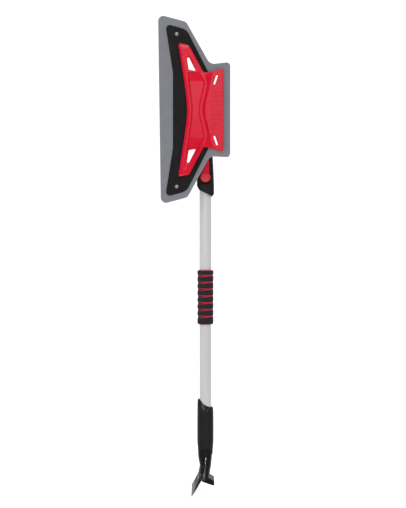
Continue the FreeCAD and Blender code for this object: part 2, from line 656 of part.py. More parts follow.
def cut_arm_holes(body):
    """Bolt bore, nut recess and the two screw holes at the back."""
    bolt = new_sketch(body, "Bolt_Bore", "XZ_Plane")
    draw_circle(bolt, "0", "pivot_height", "bolt_radius + bolt_clearance")
    cut(body, bolt)
    nut = new_sketch(body, "Nut_Recess", "XZ_Plane", "eye_back")
    draw_circle(nut, "0", "pivot_height", "nut_bore_radius")
    cut(body, nut, "nut_bore_depth", forward=True)
    screws = new_sketch(body, "Screw_Holes", "XZ_Plane")
    seats = new_sketch(body, "Screw_Seats", "XZ_Plane", "-tube_screw_seat")
    for height in ("arm_screw_low_z", "arm_screw_top_z"):
        draw_circle(screws, "0", height, "tube_screw_radius + hole_gap")
        draw_circle(seats, "0", height, "tube_screw_head_radius + seat_gap")
    cut(body, screws, "front_reach")
    cut(body, seats, "front_reach")


def make_release_button():
    """Red slider: concave thumb pad, flat stem with side flanges, forked top end."""
    body = new_body("release_button")
    stem = new_sketch(body, "Stem", "XZ_Plane", "button_back")
    draw_polygon(stem, rectangle("stem_half", "thumb_z", "stem_top_z"))
    pad(body, stem, "button_front - button_back")
    flange = new_sketch(body, "Flange", "XZ_Plane", "button_back")
    draw_polygon(flange, rectangle("flange_half", "flange_low_z", "stem_top_z"))
    pad(body, flange, "flange_front - button_back")
    thumb = new_sketch(body, "Thumb_Pad", "XZ_Plane", "thumb_back")
    draw_circle(thumb, "0", "thumb_z", "thumb_radius")
    pad(body, thumb, "thumb_front - thumb_back")
    dish = body.newObject("PartDesign::SubtractiveSphere", "Dish")
    bind(dish, Radius="dish_radius", Placement__Base__z="thumb_z")
    bind(dish, Placement__Base__y="dish_sink - thumb_front - dish_radius")
    doc.recompute()
    window = new_sketch(body, "Spring_Window", "XZ_Plane")
    draw_polygon(window, rectangle("window_half", "window_low_z", "window_top_z"))
    cut(body, window)
    fork = new_sketch(body, "Fork", "XZ_Plane")
    draw_polygon(fork, rectangle("lock_half", "lock_low_z", "stem_top_z + overrun"))
    cut(body, fork)
    return body


def make_lock_bolt():
    """Steel bolt in the stem's fork, with a bevelled tip."""
    body = new_body("lock_bolt")
    sketch = new_sketch(body, "Bolt_Face", "XZ_Plane", "lock_back")
    draw_polygon(sketch, [
        ("-lock_half", "lock_low_z"), ("lock_half", "lock_low_z"),
        ("lock_half", "lock_tip_z - 2 * lock_bevel"), ("lock_half - lock_bevel", "lock_tip_z"),
        ("lock_bevel - lock_half", "lock_tip_z"), ("-lock_half", "lock_tip_z - 2 * lock_bevel")])
    pad(body, sketch, "lock_front - lock_back")
    return body


def make_button_spring():
    """Compression spring between the arm's peg and the top of the stem's window."""
    wire = size("wire_radius")
    radius = size("spring_radius")
    end_gap = wire + size("spring_slack")
    length = size("window_top_z") - size("peg_top_z") - 2 * end_gap
    helix = Part.makeHelix(length / size("spring_turns"), length, radius)
    circle = Part.Circle(Vector(radius, 0, 0), Vector(0, 1, 0), wire)
    coil = Part.Wire(helix).makePipeShell([Part.Wire(circle.toShape())], True, True)
    item = doc.addObject("Part::Feature", "Node_button_spring")
    item.Label = "button_spring"
    item.Shape = coil
    item.Placement = Placement(Vector(0, -size("spring_depth"), size("peg_top_z") + end_gap), Rotation())
    return item


def make_scraper_sleeve():
    """Soft sleeve over the scraper's socket, its top edge cut on a slant."""
    body = new_body("scraper_sleeve")
    loft(body, [
        rounded_section(body, "Sleeve_Top", "sleeve_top", "sleeve_half", "sleeve_half", "sleeve_corner"),
        rounded_section(body, "Sleeve_Mid", "sleeve_mid", "sleeve_mid_half", "sleeve_mid_half",
                        "sleeve_corner"),
        rounded_section(body, "Sleeve_Low", "sleeve_bottom", "sleeve_low_half_x", "sleeve_half",
                        "sleeve_low_corner")])
    upper = new_sketch(body, "Tube_Bore", "XY_Plane", "sleeve_top + overrun")
    draw_circle(upper, "0", "0", "tube_radius + slip_gap")
    cut(body, upper, "sleeve_top - sleeve_bottom + 2 * overrun")
    lower = new_sketch(body, "Socket_Bore", "XY_Plane", "sleeve_bottom - overrun")
    draw_circle(lower, "0", "0", "socket_radius + slip_gap")
    cut(body, lower, "socket_top - sleeve_bottom + overrun + slip_gap", forward=True)
    scoop = new_sketch(body, "Scoop", "XZ_Plane")
    draw_circle(scoop, "scoop_x", "scoop_z", "scoop_radius")
    cut(body, scoop)
    hole = new_sketch(body, "Screw_Hole", "XZ_Plane")
    draw_circle(hole, "0", "scraper_screw_z", "sleeve_hole_radius")
    cut(body, hole, "sleeve_reach")
    return body


def make_scraper_head():
    """Glossy moulding: socket on the tube, fan-shaped neck, blade and ice chipper."""
    body = new_body("scraper_head")
    loft(body, [
        rounded_section(body, "Neck_Top", "sleeve_bottom", "neck_top_half_x", "neck_top_half_y",
                        "neck_corner"),
        rounded_section(body, "Neck_Waist", "neck_waist_z", "neck_waist_half_x", "neck_waist_half_y",
                        "neck_waist_corner", ("neck_waist_shift", "0")),
        rounded_section(body, "Neck_Fan", "fan_z", "fan_half_x", "fan_half_y", "fan_corner",
                        ("fan_shift", "0"))])
    socket = new_sketch(body, "Socket", "XY_Plane", "sleeve_bottom")
    draw_circle(socket, "0", "0", "socket_radius")
    pad(body, socket, "socket_top - sleeve_bottom")
    blade = new_sketch(body, "Blade", "XZ_Plane", "-blade_half")
    draw_polygon(blade, [("blade_root_x", "blade_root_z"), ("blade_tip_x", "blade_tip_z"),
                         ("blade_under_x", "blade_under_z"), ("crotch_x", "crotch_z"),
                         ("blade_inner_x", "blade_inner_z")])
    pad(body, blade, "2 * blade_half")
    flank = new_sketch(body, "Flanks", "YZ_Plane")
    for side in ("", "-"):
        draw_polygon(flank, [
            (side + "blade_half", "blade_tip_z - overrun"), (side + "blade_half", "blade_tip_z + overrun"),
            (side + "blade_side_y", "blade_side_z"), (side + "blade_shoulder_y", "blade_shoulder_z"),
            (side + "fan_half_y", "fan_z"), (side + "blade_neck_y", "blade_neck_z"),
            (side + "flank_reach", "blade_neck_z"), (side + "flank_reach", "blade_tip_z - overrun")])
    cut(body, flank)
    chipper = new_sketch(body, "Chipper", "XZ_Plane", "-chipper_half")
    draw_polygon(chipper, [("crotch_x", "chipper_inner_z"), ("chipper_under_x", "chipper_under_z"),
                           ("chipper_x", "chipper_low_z"), ("chipper_x", "chipper_top_z"),
                           ("chipper_root_x", "chipper_root_z"), ("crotch_x", "chipper_root_z")])
    pad(body, chipper, "2 * chipper_half")
    bore = new_sketch(body, "Tube_Bore", "XY_Plane", "socket_top + overrun")
    draw_circle(bore, "0", "0", "tube_radius + slip_gap")
    cut(body, bore, "socket_top + overrun - tube_bottom")
    hole = new_sketch(body, "Screw_Hole", "XZ_Plane")
    draw_circle(hole, "0", "scraper_screw_z", "tube_screw_radius + hole_gap")
    cut(body, hole, "sleeve_reach")
    return body


def make_tube_screws():
    """Three self-tapping screws at the back: two in the arm and one in the scraper."""
    pieces = []
    for i, (height, seat) in enumerate((("arm_screw_low_z", "tube_screw_seat"),
                                        ("arm_screw_top_z", "tube_screw_seat"),
                                        ("scraper_screw_z", "socket_radius"))):
        pieces.append(dome("TubeScrewHead%d" % i, "tube_screw_head_radius", "-" + seat,
                           "-tube_screw_head_thick", z=height))
        pieces.append(rod("TubeScrewShank%d" % i, "tube_screw_radius", "-%s - bury" % seat,
                          "tube_screw_length", z=height))
    return joined("tube_screws", pieces)


def make_pivot_bolt():
    head = hexagon("BoltHead", "bolt_head_width", "rear_plate_front + washer_thick",
                   "bolt_head_high", "pivot_height")
    shank = rod("BoltShank", "bolt_radius", "eye_back + cap_plug_high + hole_gap",
                "rear_plate_front + washer_thick - eye_back", z="pivot_height")
    return joined("pivot_bolt", [head, shank])


def make_washer(label, depth):
    outer = rod(label + "_disc", "washer_radius", depth, "washer_thick", z="pivot_height")
    inner = rod(label + "_hole", "bolt_radius + bolt_clearance", depth, "washer_thick", z="pivot_height")
    return bored(label, outer, inner)


def make_bolt_washer():
    return make_washer("bolt_washer", "rear_plate_front")


def make_nut_washer():
    return make_washer("nut_washer", "eye_back + nut_bore_depth - washer_thick")


def make_pivot_nut():
    depth = "eye_back + nut_bore_depth - washer_thick - nut_high"
    outer = hexagon("NutBody", "bolt_head_width", depth, "nut_high", "pivot_height")
    inner = rod("NutThread", "bolt_radius", depth, "nut_high", z="pivot_height")
    return bored("pivot_nut", outer, inner)


def make_pivot_cap():
    """Plain cap pressed into the nut recess at the back of the arm's eye."""
    body = new_body("pivot_cap", "pivot_height")
    flange = new_sketch(body, "Cap_Flange", "XZ_Plane", "eye_back - cap_thick")
    draw_circle(flange, "0", "0", "nut_bore_radius + cap_overlap")
    pad(body, flange, "cap_thick")
    round_circles(body, "nut_bore_radius + cap_overlap", "cap_overlap", "cap_thick - eye_back")
    plug = new_sketch(body, "Cap_Plug", "XZ_Plane", "eye_back")
    draw_circle(plug, "0", "0", "nut_bore_radius - hole_gap")
    pad(body, plug, "cap_plug_high")
    return body


def head_height(z):
    """Height in the tube's frame of a place given from the pivot."""
    return "pivot_height + (%s)" % z


def make_end_rivets():
    pieces = []
    for i, (x, z) in enumerate(RIVETS):
        height = head_height(z)
        pieces.append(dome("RivetHead%d" % i, "rivet_head_radius", "frame_back", "rivet_head_thick",
                           x, height))
        pieces.append(rod("RivetShank%d" % i, "rivet_radius", "rear_plate_front - washer_thick - bury",
                          "frame_back - rear_plate_front + washer_thick + 2 * bury", x, height))
    return joined("end_rivets", pieces)


def make_rivet_washers():
    outers = []
    inners = []
    depth = "rear_plate_front - washer_thick"
    for i, (x, z) in enumerate(RIVETS):
        height = head_height(z)
        outers.append(rod("WasherDisc%d" % i, "rivet_washer_radius", depth, "washer_thick", x, height))
        inners.append(rod("WasherHole%d" % i, "rivet_radius + hole_gap", depth, "washer_thick", x, height))
    return bored("rivet_washers", joined("washer_discs", outers), joined("washer_holes", inners))


def make_frame_screws():
    """Six screws from the back, through both sheets and the foam, into the front frame."""
    pieces = []
    seats = [("rear_frame_back", place) for place in RIM_SCREWS]
    seats += [("rear_plate_back", place) for place in PANEL_SCREWS]
    for i, (seat, (x, z)) in enumerate(seats):
        height = head_height(z)
        pieces.append(dome("FrameScrewHead%d" % i, "screw_head_radius", seat, "-screw_head_thick",
                           x, height))
        pieces.append(rod("FrameScrewShank%d" % i, "screw_radius", seat + " - bury",
                          "frame_back + screw_bite - %s" % seat, x, height))
    return joined("frame_screws", pieces)


def make_disc_screws():
    """Four screws through the index disc into the bosses of the rear frame."""
    pieces = []
    for i, (x, z) in enumerate(DISC_SCREWS):
        height = head_height(z)
        pieces.append(rod("DiscScrewHead%d" % i, "screw_head_radius", "disc_back + disc_screw_sink",
                          "screw_head_thick", x, height))
        pieces.append(rod("DiscScrewShank%d" % i, "screw_radius", "disc_back + disc_screw_sink + bury",
                          "disc_screw_length", x, height))
    return joined("disc_screws", pieces)


NODES = [
    make_tube(), make_foam_grip(), make_arm(), make_tube_screws(), make_scraper_sleeve(),
    make_scraper_head(), make_release_button(), make_lock_bolt(), make_button_spring(),
    make_pivot_bolt(), make_bolt_washer(), make_nut_washer(), make_pivot_nut(), make_pivot_cap(),
    make_foam_board(), make_front_sheet(), make_rear_sheet(), make_front_frame(), make_rear_frame(),
    make_end_rivets(), make_rivet_washers(), make_frame_screws(), make_index_disc(), make_disc_screws(),
]

doc.recompute()
for item in doc.Objects:
    if "Invalid" in item.State or "Error" in item.State:
        raise RuntimeError("%s failed: %s" % (item.Label, item.State))
for node in NODES:
    if node.Shape.isNull() or not node.Shape.isValid() or not node.Shape.Solids:
        raise RuntimeError("%s has no valid solid" % node.Label)

os.makedirs("parts", exist_ok=True)
for node in NODES:
    node.Shape.exportStep("parts/%s.step" % node.Label)
    print("%-16s %2d solid(s) %10.1f mm3" % (node.Label, len(node.Shape.Solids), node.Shape.Volume))
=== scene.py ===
import json
import math

import bpy
import numpy as np
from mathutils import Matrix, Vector
from mathutils.geometry import delaunay_2d_cdt


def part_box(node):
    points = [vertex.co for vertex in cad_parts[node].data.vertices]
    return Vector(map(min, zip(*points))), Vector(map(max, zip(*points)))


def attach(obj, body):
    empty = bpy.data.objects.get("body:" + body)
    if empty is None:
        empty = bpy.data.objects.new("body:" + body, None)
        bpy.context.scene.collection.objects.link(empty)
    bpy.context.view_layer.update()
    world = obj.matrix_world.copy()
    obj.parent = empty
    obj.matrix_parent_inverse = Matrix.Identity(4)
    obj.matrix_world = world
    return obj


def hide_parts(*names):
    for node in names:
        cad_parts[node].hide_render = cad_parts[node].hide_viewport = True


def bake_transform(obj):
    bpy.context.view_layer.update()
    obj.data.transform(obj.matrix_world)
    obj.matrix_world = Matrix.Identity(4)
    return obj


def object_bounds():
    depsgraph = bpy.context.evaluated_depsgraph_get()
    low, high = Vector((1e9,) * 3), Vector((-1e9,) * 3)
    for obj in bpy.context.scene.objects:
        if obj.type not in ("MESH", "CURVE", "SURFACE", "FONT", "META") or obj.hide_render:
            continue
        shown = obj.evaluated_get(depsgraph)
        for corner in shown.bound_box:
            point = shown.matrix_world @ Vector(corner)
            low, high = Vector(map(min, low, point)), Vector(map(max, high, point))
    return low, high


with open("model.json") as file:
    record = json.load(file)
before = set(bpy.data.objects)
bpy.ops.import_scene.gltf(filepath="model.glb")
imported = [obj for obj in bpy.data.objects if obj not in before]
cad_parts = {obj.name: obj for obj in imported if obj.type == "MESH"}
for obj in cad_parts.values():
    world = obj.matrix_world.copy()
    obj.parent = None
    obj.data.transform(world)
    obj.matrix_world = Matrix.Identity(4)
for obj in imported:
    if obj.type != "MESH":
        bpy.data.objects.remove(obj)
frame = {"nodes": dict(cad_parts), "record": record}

# A snow pusher with an ice scraper, dressed on its CAD frame. Metres in Blender; shapes
# are worked out in millimetres and scaled once, where a mesh is made. Z runs up the
# tube and the head's face looks towards -Y. "Depth" is the distance towards -Y from
# the tube's axis. Outlines of the head are pairs of x and height above its pivot, or
# above the middle of the front frame.

CAD_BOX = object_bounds()
MM = 0.001
PIVOT_Z = frame["record"]["behaviour"]["joints"][0]["pos_m"][2] / MM


# -------------------- places on the frame

def depths(node):
    """Depth of a CAD node's back and of its front, in mm."""
    low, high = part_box(node)
    return -high.y / MM, -low.y / MM


def heights(node):
    """Lowest and highest z of a CAD node, in mm."""
    low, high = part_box(node)
    return low.z / MM, high.z / MM


TUBE_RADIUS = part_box("tube")[1].x / MM
FOAM_BACK, FOAM_FRONT = depths("foam_board")
FRAME_BACK, FRAME_FRONT = depths("front_frame")
REAR_BACK = depths("rear_frame")[0]
REAR_FRONT = depths("rear_sheet")[0]
FRAME_Z = sum(heights("front_frame")) / 2   # middle of the front frame


# -------------------- loops and distances

FLAT_GAP = 0.02      # how far from a level a point may be and still lie on it
ARC_STEP = 0.9       # length of the chords that stand for an arc
OPENING_AREA = 60    # loops that enclose less than this are screw and rivet holes
SMALL_TURN = 0.01    # a corner that turns less than this angle is left as it is


def area(loop):
    """Signed area of a closed loop: positive if it runs anticlockwise."""
    following = np.roll(loop, -1, axis=0)
    return 0.5 * np.sum(loop[:, 0] * following[:, 1] - following[:, 0] * loop[:, 1])


def anticlockwise(loop):
    return loop if area(loop) > 0 else loop[::-1]


def face_loops(node, depth, middle_z=PIVOT_Z):
    """Edge loops of a layer's flat face at a depth: the outline, then the openings."""
    mesh = frame["nodes"][node].data
    places = np.array([v.co for v in mesh.vertices]) / MM
    on_face = np.abs(places[:, 1] + depth) < FLAT_GAP
    names = [(round(x, 3), round(z - middle_z, 3)) for x, _, z in places.tolist()]
    edges = set()
    for polygon in mesh.polygons:
        if all(on_face[i] for i in polygon.vertices):
            corners = [names[i] for i in polygon.vertices]
            edges.update(zip(corners, corners[1:] + corners[:1]))
    follower = {a: b for a, b in sorted(edges) if (b, a) not in edges}
    loops = []
    while follower:
        start, here = follower.popitem()
        loop = [start]
        while here != start:
            loop.append(here)
            here = follower.pop(here)
        loops.append(anticlockwise(np.array(loop)))
    loops.sort(key=lambda loop: -area(loop))
    return loops[0], [loop for loop in loops[1:] if area(loop) > OPENING_AREA]


def rounded(corners):
    """A closed loop through corners (x, height, radius), each turned into an arc."""
    points = []
    count = len(corners)
    for i, (x, z, radius) in enumerate(corners):
        corner = np.array((x, z), float)
        to_last = np.array(corners[i - 1][:2]) - corner
        to_next = np.array(corners[(i + 1) % count][:2]) - corner
        to_last /= np.linalg.norm(to_last)
        to_next /= np.linalg.norm(to_next)
        opening = math.acos(float(np.clip(to_last @ to_next, -1, 1)))
        turn = math.pi - opening
        if radius == 0 or turn < SMALL_TURN:
            points.append(corner)
            continue
        middle = to_last + to_next
        centre = corner + middle / np.linalg.norm(middle) * radius / math.sin(opening / 2)
        start = corner + to_last * radius / math.tan(opening / 2) - centre
        way = 1 if to_last[0] * to_next[1] - to_last[1] * to_next[0] < 0 else -1
        steps = max(4, round(turn * radius / ARC_STEP))
        for k in range(steps + 1):
            angle = way * turn * k / steps
            cos, sin = math.cos(angle), math.sin(angle)
            points.append(centre + np.array((start[0] * cos - start[1] * sin,
                                             start[0] * sin + start[1] * cos)))
    return anticlockwise(np.array(points))


def mirrored(corners):
    """The corners of an upper half, followed by their mirror images below it."""
    return corners + [(x, -z, r) for x, z, r in reversed(corners) if z != 0]


def soft_corners(loop, radius):
    """A straight-sided loop with its corners rounded."""
    return rounded([(x, z, radius) for x, z in loop.tolist()])


def rounded_box(left, right, low, high, radius):
    """A closed rectangle with rounded corners."""
    corners = ((left, low), (right, low), (right, high), (left, high))
    return rounded([(x, z, radius) for x, z in corners])


def spaced(count, pitch):
    """Evenly spaced places, centred on zero."""
    return [(k - (count - 1) / 2) * pitch for k in range(count)]


def circle(x, z, radius):
    count = max(12, round(2 * math.pi * radius / ARC_STEP))
    angles = np.linspace(0, 2 * math.pi, count, endpoint=False)
    return np.stack((x + radius * np.cos(angles), z + radius * np.sin(angles)), axis=1)


def inset(loop, distance):
    """The loop moved inwards, or outwards if the distance is negative."""
    before = loop - np.roll(loop, 1, axis=0)
    after = np.roll(before, -1, axis=0)
    sides = []
    for step in (before, after):
        unit = step / np.linalg.norm(step, axis=1)[:, None]
        sides.append(np.stack((-unit[:, 1], unit[:, 0]), axis=1))
    lean = 1 + np.sum(sides[0] * sides[1], axis=1)
    return loop + distance * (sides[0] + sides[1]) / lean[:, None]


def line_distance(points, line, closed=False):
    """Distance of each point from a broken line."""
    starts = line if closed else line[:-1]
    steps = (np.roll(line, -1, axis=0) - line)[:len(starts)]
    offsets = points[:, None, :] - starts[None]
    share = np.sum(offsets * steps, axis=2) / np.sum(steps * steps, axis=1)
    gaps = offsets - np.clip(share, 0, 1)[..., None] * steps
    return np.sqrt(np.sum(gaps * gaps, axis=2)).min(axis=1)


def inside_distance(points, loop):
    """How far inside a closed loop each point is: negative outside it."""
    x, z = points[:, :1], points[:, 1:]
    ends = np.roll(loop, -1, axis=0)
    spans = (loop[:, 1] > z) != (ends[:, 1] > z)
    rise = np.where(ends[:, 1] == loop[:, 1], 1, ends[:, 1] - loop[:, 1])
    crossing = loop[:, 0] + (z - loop[:, 1]) * (ends[:, 0] - loop[:, 0]) / rise
    inside = np.sum(spans & (x < crossing), axis=1) % 2 == 1
    distance = line_distance(points, loop, closed=True)
    return np.where(inside, distance, -distance)


def smooth(share):
    """A soft step from 0 to 1."""
    share = np.clip(share, 0, 1)
    return share * share * (3 - 2 * share)


def rounding(distance, radius):
    """How far a rounded edge falls below its face at a distance in from the edge."""
    reach = np.clip(radius - distance, 0, radius)
    return radius - np.sqrt(radius * radius - reach * reach)


def edge_distance(points, outline, holes):
    """Distance of each point from the nearest edge of a plate."""
    nearest = inside_distance(points, outline)
    for hole in holes:
        nearest = np.minimum(nearest, -inside_distance(points, hole))
    return np.maximum(nearest, 0)


def edge_rows(outline, holes, radius, count=5):
    """Loops that give a rounded edge its rows of faces."""
    rows = []
    for k in range(1, count + 1):
        step = radius * (1 - math.cos(math.pi / 2 * k / count))
        rows.append(inset(outline, step))
        rows += [inset(hole, -step) for hole in holes]
    return rows


def wall_rows(loop, width, count=4):
    """Loops across a sloping wall that starts at a loop and runs inwards."""
    return [inset(loop, width * k / count) for k in range(count + 1)]


# -------------------- meshes

SHARP_ANGLE = math.radians(38)
FACET_ANGLE = math.radians(6)    # for mouldings made of nearly flat facets
WIRE_ANGLE = math.radians(60)    # for wire, whose round section has few sides
MERGE_GAP = 1e-4                 # points of a plate that are closer than this are one


def added(name, data):
    """A new object in the scene."""
    made = bpy.data.objects.new(name, data)
    bpy.context.scene.collection.objects.link(made)
    return made


def copied(node, name):
    """A new object with a copy of a CAD node's mesh."""
    return added(name, frame["nodes"][node].data.copy())


def new_piece(name, vertices, faces, slot):
    """A smooth-shaded object from vertices in mm."""
    mesh = bpy.data.meshes.new(name)
    mesh.from_pydata((np.asarray(vertices) * MM).tolist(), [], [list(f) for f in faces])
    mesh.validate()
    piece = added(name, mesh)
    dress(piece, slot)
    return piece


def dress(piece, slot, sharp=SHARP_ANGLE):
    """Gives a piece its material and soft shading with crisp edges."""
    piece.data.materials.clear()
    piece.data.materials.append(MATERIALS[slot])
    piece.data.shade_smooth()
    piece.data.set_sharp_from_angle(angle=sharp)


def even_shading(piece):
    """Keeps large flat faces flat where they meet small rounded ones."""
    weighted = piece.modifiers.new("even_shading", "WEIGHTED_NORMAL")
    weighted.keep_sharp = True


def onto_head(u, v, depth):
    """Places on the head: across, up from the pivot, and towards the viewer."""
    return np.stack((u, -depth, v + PIVOT_Z), axis=1)


def onto_front_frame(u, v, depth):
    """Places on the front frame: across, up from its middle, and towards the viewer."""
    return np.stack((u, -depth, v + FRAME_Z), axis=1)


def onto_handle(u, v, depth):
    """Places on the handle: across, up from the grip, and towards the viewer."""
    return np.stack((u, -depth, v), axis=1)


def onto_side(u, v, depth):
    """Places seen from the blade's side, -X: across, up from the grip, towards -X."""
    return np.stack((-depth, -u, v), axis=1)


def triangulated(outline, holes, creases):
    """Points and triangles of a flat sheet, with edges along all given loops."""
    loops = [outline] + holes + creases
    points = [Vector(p) for p in np.concatenate(loops).tolist()]
    edges = []
    start = 0
    for loop in loops:
        count = len(loop)
        edges += [(start + i, start + (i + 1) % count) for i in range(count)]
        start += count
    made = delaunay_2d_cdt(points, edges, [], 0, MERGE_GAP)
    flat = np.array([tuple(p) for p in made[0]])
    triangles = np.array([tuple(t) for t in made[2]])
    middles = flat[triangles].mean(axis=1)
    kept = inside_distance(middles, outline) > 0
    for hole in holes:
        kept &= inside_distance(middles, hole) < 0
    triangles = triangles[kept]
    used = np.unique(triangles)
    number = np.full(len(flat), -1)
    number[used] = np.arange(len(used))
    return flat[used], number[triangles]


def plate(name, outline, holes, creases, front, back, slot, place=onto_head):
    """A closed plate between two depth functions, with edges along all given loops."""
    flat, triangles = triangulated(outline, holes, creases)
    count = len(flat)
    around = set()
    for a, b, c in triangles.tolist():
        around.update(((a, b), (b, c), (c, a)))
    sides = [(b, a, a + count, b + count) for a, b in sorted(around) if (b, a) not in around]
    faces = triangles.tolist() + (triangles[:, ::-1] + count).tolist() + sides
    top = place(flat[:, 0], flat[:, 1], front(flat))
    bottom = place(flat[:, 0], flat[:, 1], back(flat))
    piece = new_piece(name, np.concatenate((top, bottom)), faces, slot)
    even_shading(piece)
    return piece


def skin(name, rings, slot, closed=False):
    """Faces between rings of equal point counts; the ends are capped or joined up."""
    count = len(rings[0])
    faces = []
    last = len(rings) if closed else len(rings) - 1
    for k in range(last):
        low, high = k * count, (k + 1) % len(rings) * count
        for i in range(count):
            j = (i + 1) % count
            faces.append((low + i, low + j, high + j, high + i))
    if not closed:
        faces.append(range(count - 1, -1, -1))
        faces.append(range((len(rings) - 1) * count, len(rings) * count))
    return new_piece(name, np.concatenate(rings), faces, slot)


def oval(angles, half_x, half_y, power, shift_x=0.0):
    """Points of a superellipse: power 2 is an ellipse, more is squarer."""
    cos, sin = np.cos(angles), np.sin(angles)
    x = shift_x + half_x * np.sign(cos) * np.abs(cos) ** (2 / power)
    y = half_y * np.sign(sin) * np.abs(sin) ** (2 / power)
    return x, y


def baked(piece):
    """Applies a piece's modifiers to its mesh."""
    bpy.context.view_layer.update()
    evaluated = piece.evaluated_get(bpy.context.evaluated_depsgraph_get())
    mesh = bpy.data.meshes.new_from_object(evaluated)
    piece.modifiers.clear()
    piece.data = mesh
    return piece


def moulded(piece, slot, voxel, passes):
    """Melts a piece's solids into one and softens its edges and inner corners."""
    piece.modifiers.clear()
    remesh = piece.modifiers.new("one_solid", "REMESH")
    remesh.mode = "VOXEL"
    remesh.voxel_size = voxel * MM
    soften = piece.modifiers.new("soft_edges", "SMOOTH")
    soften.factor = 0.5
    soften.iterations = passes
    baked(piece)
    dress(piece, slot)
    return piece


def merged(pieces):
    """Joins several pieces' meshes into the first one."""
    with bpy.context.temp_override(active_object=pieces[0], selected_editable_objects=pieces):
        bpy.ops.object.join()
    return pieces[0]


# -------------------- materials

EDGE_START, EDGE_END = 0.52, 0.6   # pointiness where the painted edge highlight begins and is full; 0.5 is flat
CORE_RADIUS, CORE_SHIFT = 16.05, 0.6   # the grip's black core, a little off the tube's axis
COVER_RADIUS = 16.85                   # where the black cover begins, outside the red layer
LAYER_BLUR, LAYER_WANDER = 0.1, 0.2    # softness and unevenness of the layers' borders


class Graph:
    """A material's node tree, with short names for the nodes that are used here."""

    def __init__(self, name):
        self.material = bpy.data.materials.new(name)
        self.material.use_nodes = True
        self.tree = self.material.node_tree
        self.shader = self.tree.nodes["Principled BSDF"]
        self.place = self.node("ShaderNodeTexCoord").outputs["Object"]

    def node(self, kind, **settings):
        made = self.tree.nodes.new(kind)
        for key, value in settings.items():
            setattr(made, key, value)
        return made

    def link(self, source, target):
        self.tree.links.new(source, target)

    def set(self, **inputs):
        for key, value in inputs.items():
            self.shader.inputs[key.replace("_", " ")].default_value = value

    def stretched(self, x, y, z):
        """Coordinates squeezed or stretched along the object's axes."""
        mapping = self.node("ShaderNodeMapping")
        mapping.inputs["Scale"].default_value = (x, y, z)
        self.link(self.place, mapping.inputs["Vector"])
        return mapping.outputs["Vector"]

    def noise(self, grain, detail=3.0, place=None):
        """Soft noise with features about `grain` mm wide."""
        made = self.node("ShaderNodeTexNoise")
        made.inputs["Scale"].default_value = 1 / (grain * MM)
        made.inputs["Detail"].default_value = detail
        self.link(place or self.place, made.inputs["Vector"])
        return made.outputs["Fac"]

    def cells(self, grain, feature="F1"):
        """Distance to the middle of cells about `grain` mm wide."""
        made = self.node("ShaderNodeTexVoronoi", feature=feature)
        made.inputs["Scale"].default_value = 1 / (grain * MM)
        self.link(self.place, made.inputs["Vector"])
        return made.outputs["Distance"]

    def spread(self, source, low, high, start=0.3, end=0.7):
        """Maps the middle of a noise onto a range."""
        made = self.node("ShaderNodeMapRange")
        made.inputs["From Min"].default_value = start
        made.inputs["From Max"].default_value = end
        made.inputs["To Min"].default_value = low
        made.inputs["To Max"].default_value = high
        self.link(source, made.inputs["Value"])
        return made.outputs["Result"]

    def mix(self, share, first, second):
        """A colour between two, each a colour or a socket."""
        made = self.node("ShaderNodeMix", data_type="RGBA")
        self.link(share, made.inputs[0])
        colour_a, colour_b = made.inputs[6], made.inputs[7]
        for socket, value in ((colour_a, first), (colour_b, second)):
            if isinstance(value, tuple):
                socket.default_value = value + (1.0,)
            else:
                self.link(value, socket)
        return made.outputs[2]

    def maths(self, operation, first, second=0.0):
        made = self.node("ShaderNodeMath", operation=operation)
        for socket, value in zip(made.inputs, (first, second)):
            if isinstance(value, (int, float)):
                socket.default_value = value
            else:
                self.link(value, socket)
        return made.outputs[0]

    def mottled(self, colour, share, grain=14.0):
        """The base colour, a little darker and lighter in soft patches."""
        dark = tuple(c * (1 - share) for c in colour)
        light = tuple(c * (1 + share) for c in colour)
        colour = self.mix(self.spread(self.noise(grain, 5.0), 0, 1), dark, light)
        self.link(colour, self.shader.inputs["Base Color"])
        return colour

    def rough(self, middle, swing, grain=8.0, place=None):
        """Roughness that varies softly round its middle value."""
        source = self.noise(grain, 4.0, place)
        level = self.spread(source, middle - swing, middle + swing)
        self.link(level, self.shader.inputs["Roughness"])

    def bump(self, *layers):
        """Relief: each layer is a height source and its depth in mm."""
        normal = None
        for source, depth in layers:
            made = self.node("ShaderNodeBump")
            made.inputs["Distance"].default_value = depth * MM
            self.link(source, made.inputs["Height"])
            if normal:
                self.link(normal, made.inputs["Normal"])
            normal = made.outputs["Normal"]
        self.link(normal, self.shader.inputs["Normal"])

    def painted_edge_highlight(self, colour, highlight_colour, share):
        """Lightens convex edges: a painted highlight along them."""
        point = self.node("ShaderNodeNewGeometry").outputs["Pointiness"]
        edge = self.spread(point, 0, share, EDGE_START, EDGE_END)
        self.link(self.mix(edge, colour, highlight_colour), self.shader.inputs["Base Color"])


def satin_aluminium():
    graph = Graph("satin_aluminium")
    drawn = graph.noise(1.1, 4.0, graph.stretched(1, 1, 0.012))
    colour = graph.mix(graph.spread(drawn, 0, 1), (0.60, 0.60, 0.61), (0.68, 0.68, 0.69))
    graph.link(colour, graph.shader.inputs["Base Color"])
    graph.set(Metallic=0.25)
    graph.rough(0.42, 0.05, 30.0)
    graph.bump((drawn, 0.012), (graph.noise(0.25), 0.006))
    return graph.material


def rivet_aluminium():
    graph = Graph("rivet_aluminium")
    graph.mottled((0.34, 0.33, 0.34), 0.25, 2.0)
    graph.set(Metallic=0.45)
    graph.rough(0.4, 0.1, 1.5)
    graph.bump((graph.noise(1.6), 0.12), (graph.noise(0.3), 0.02))
    return graph.material


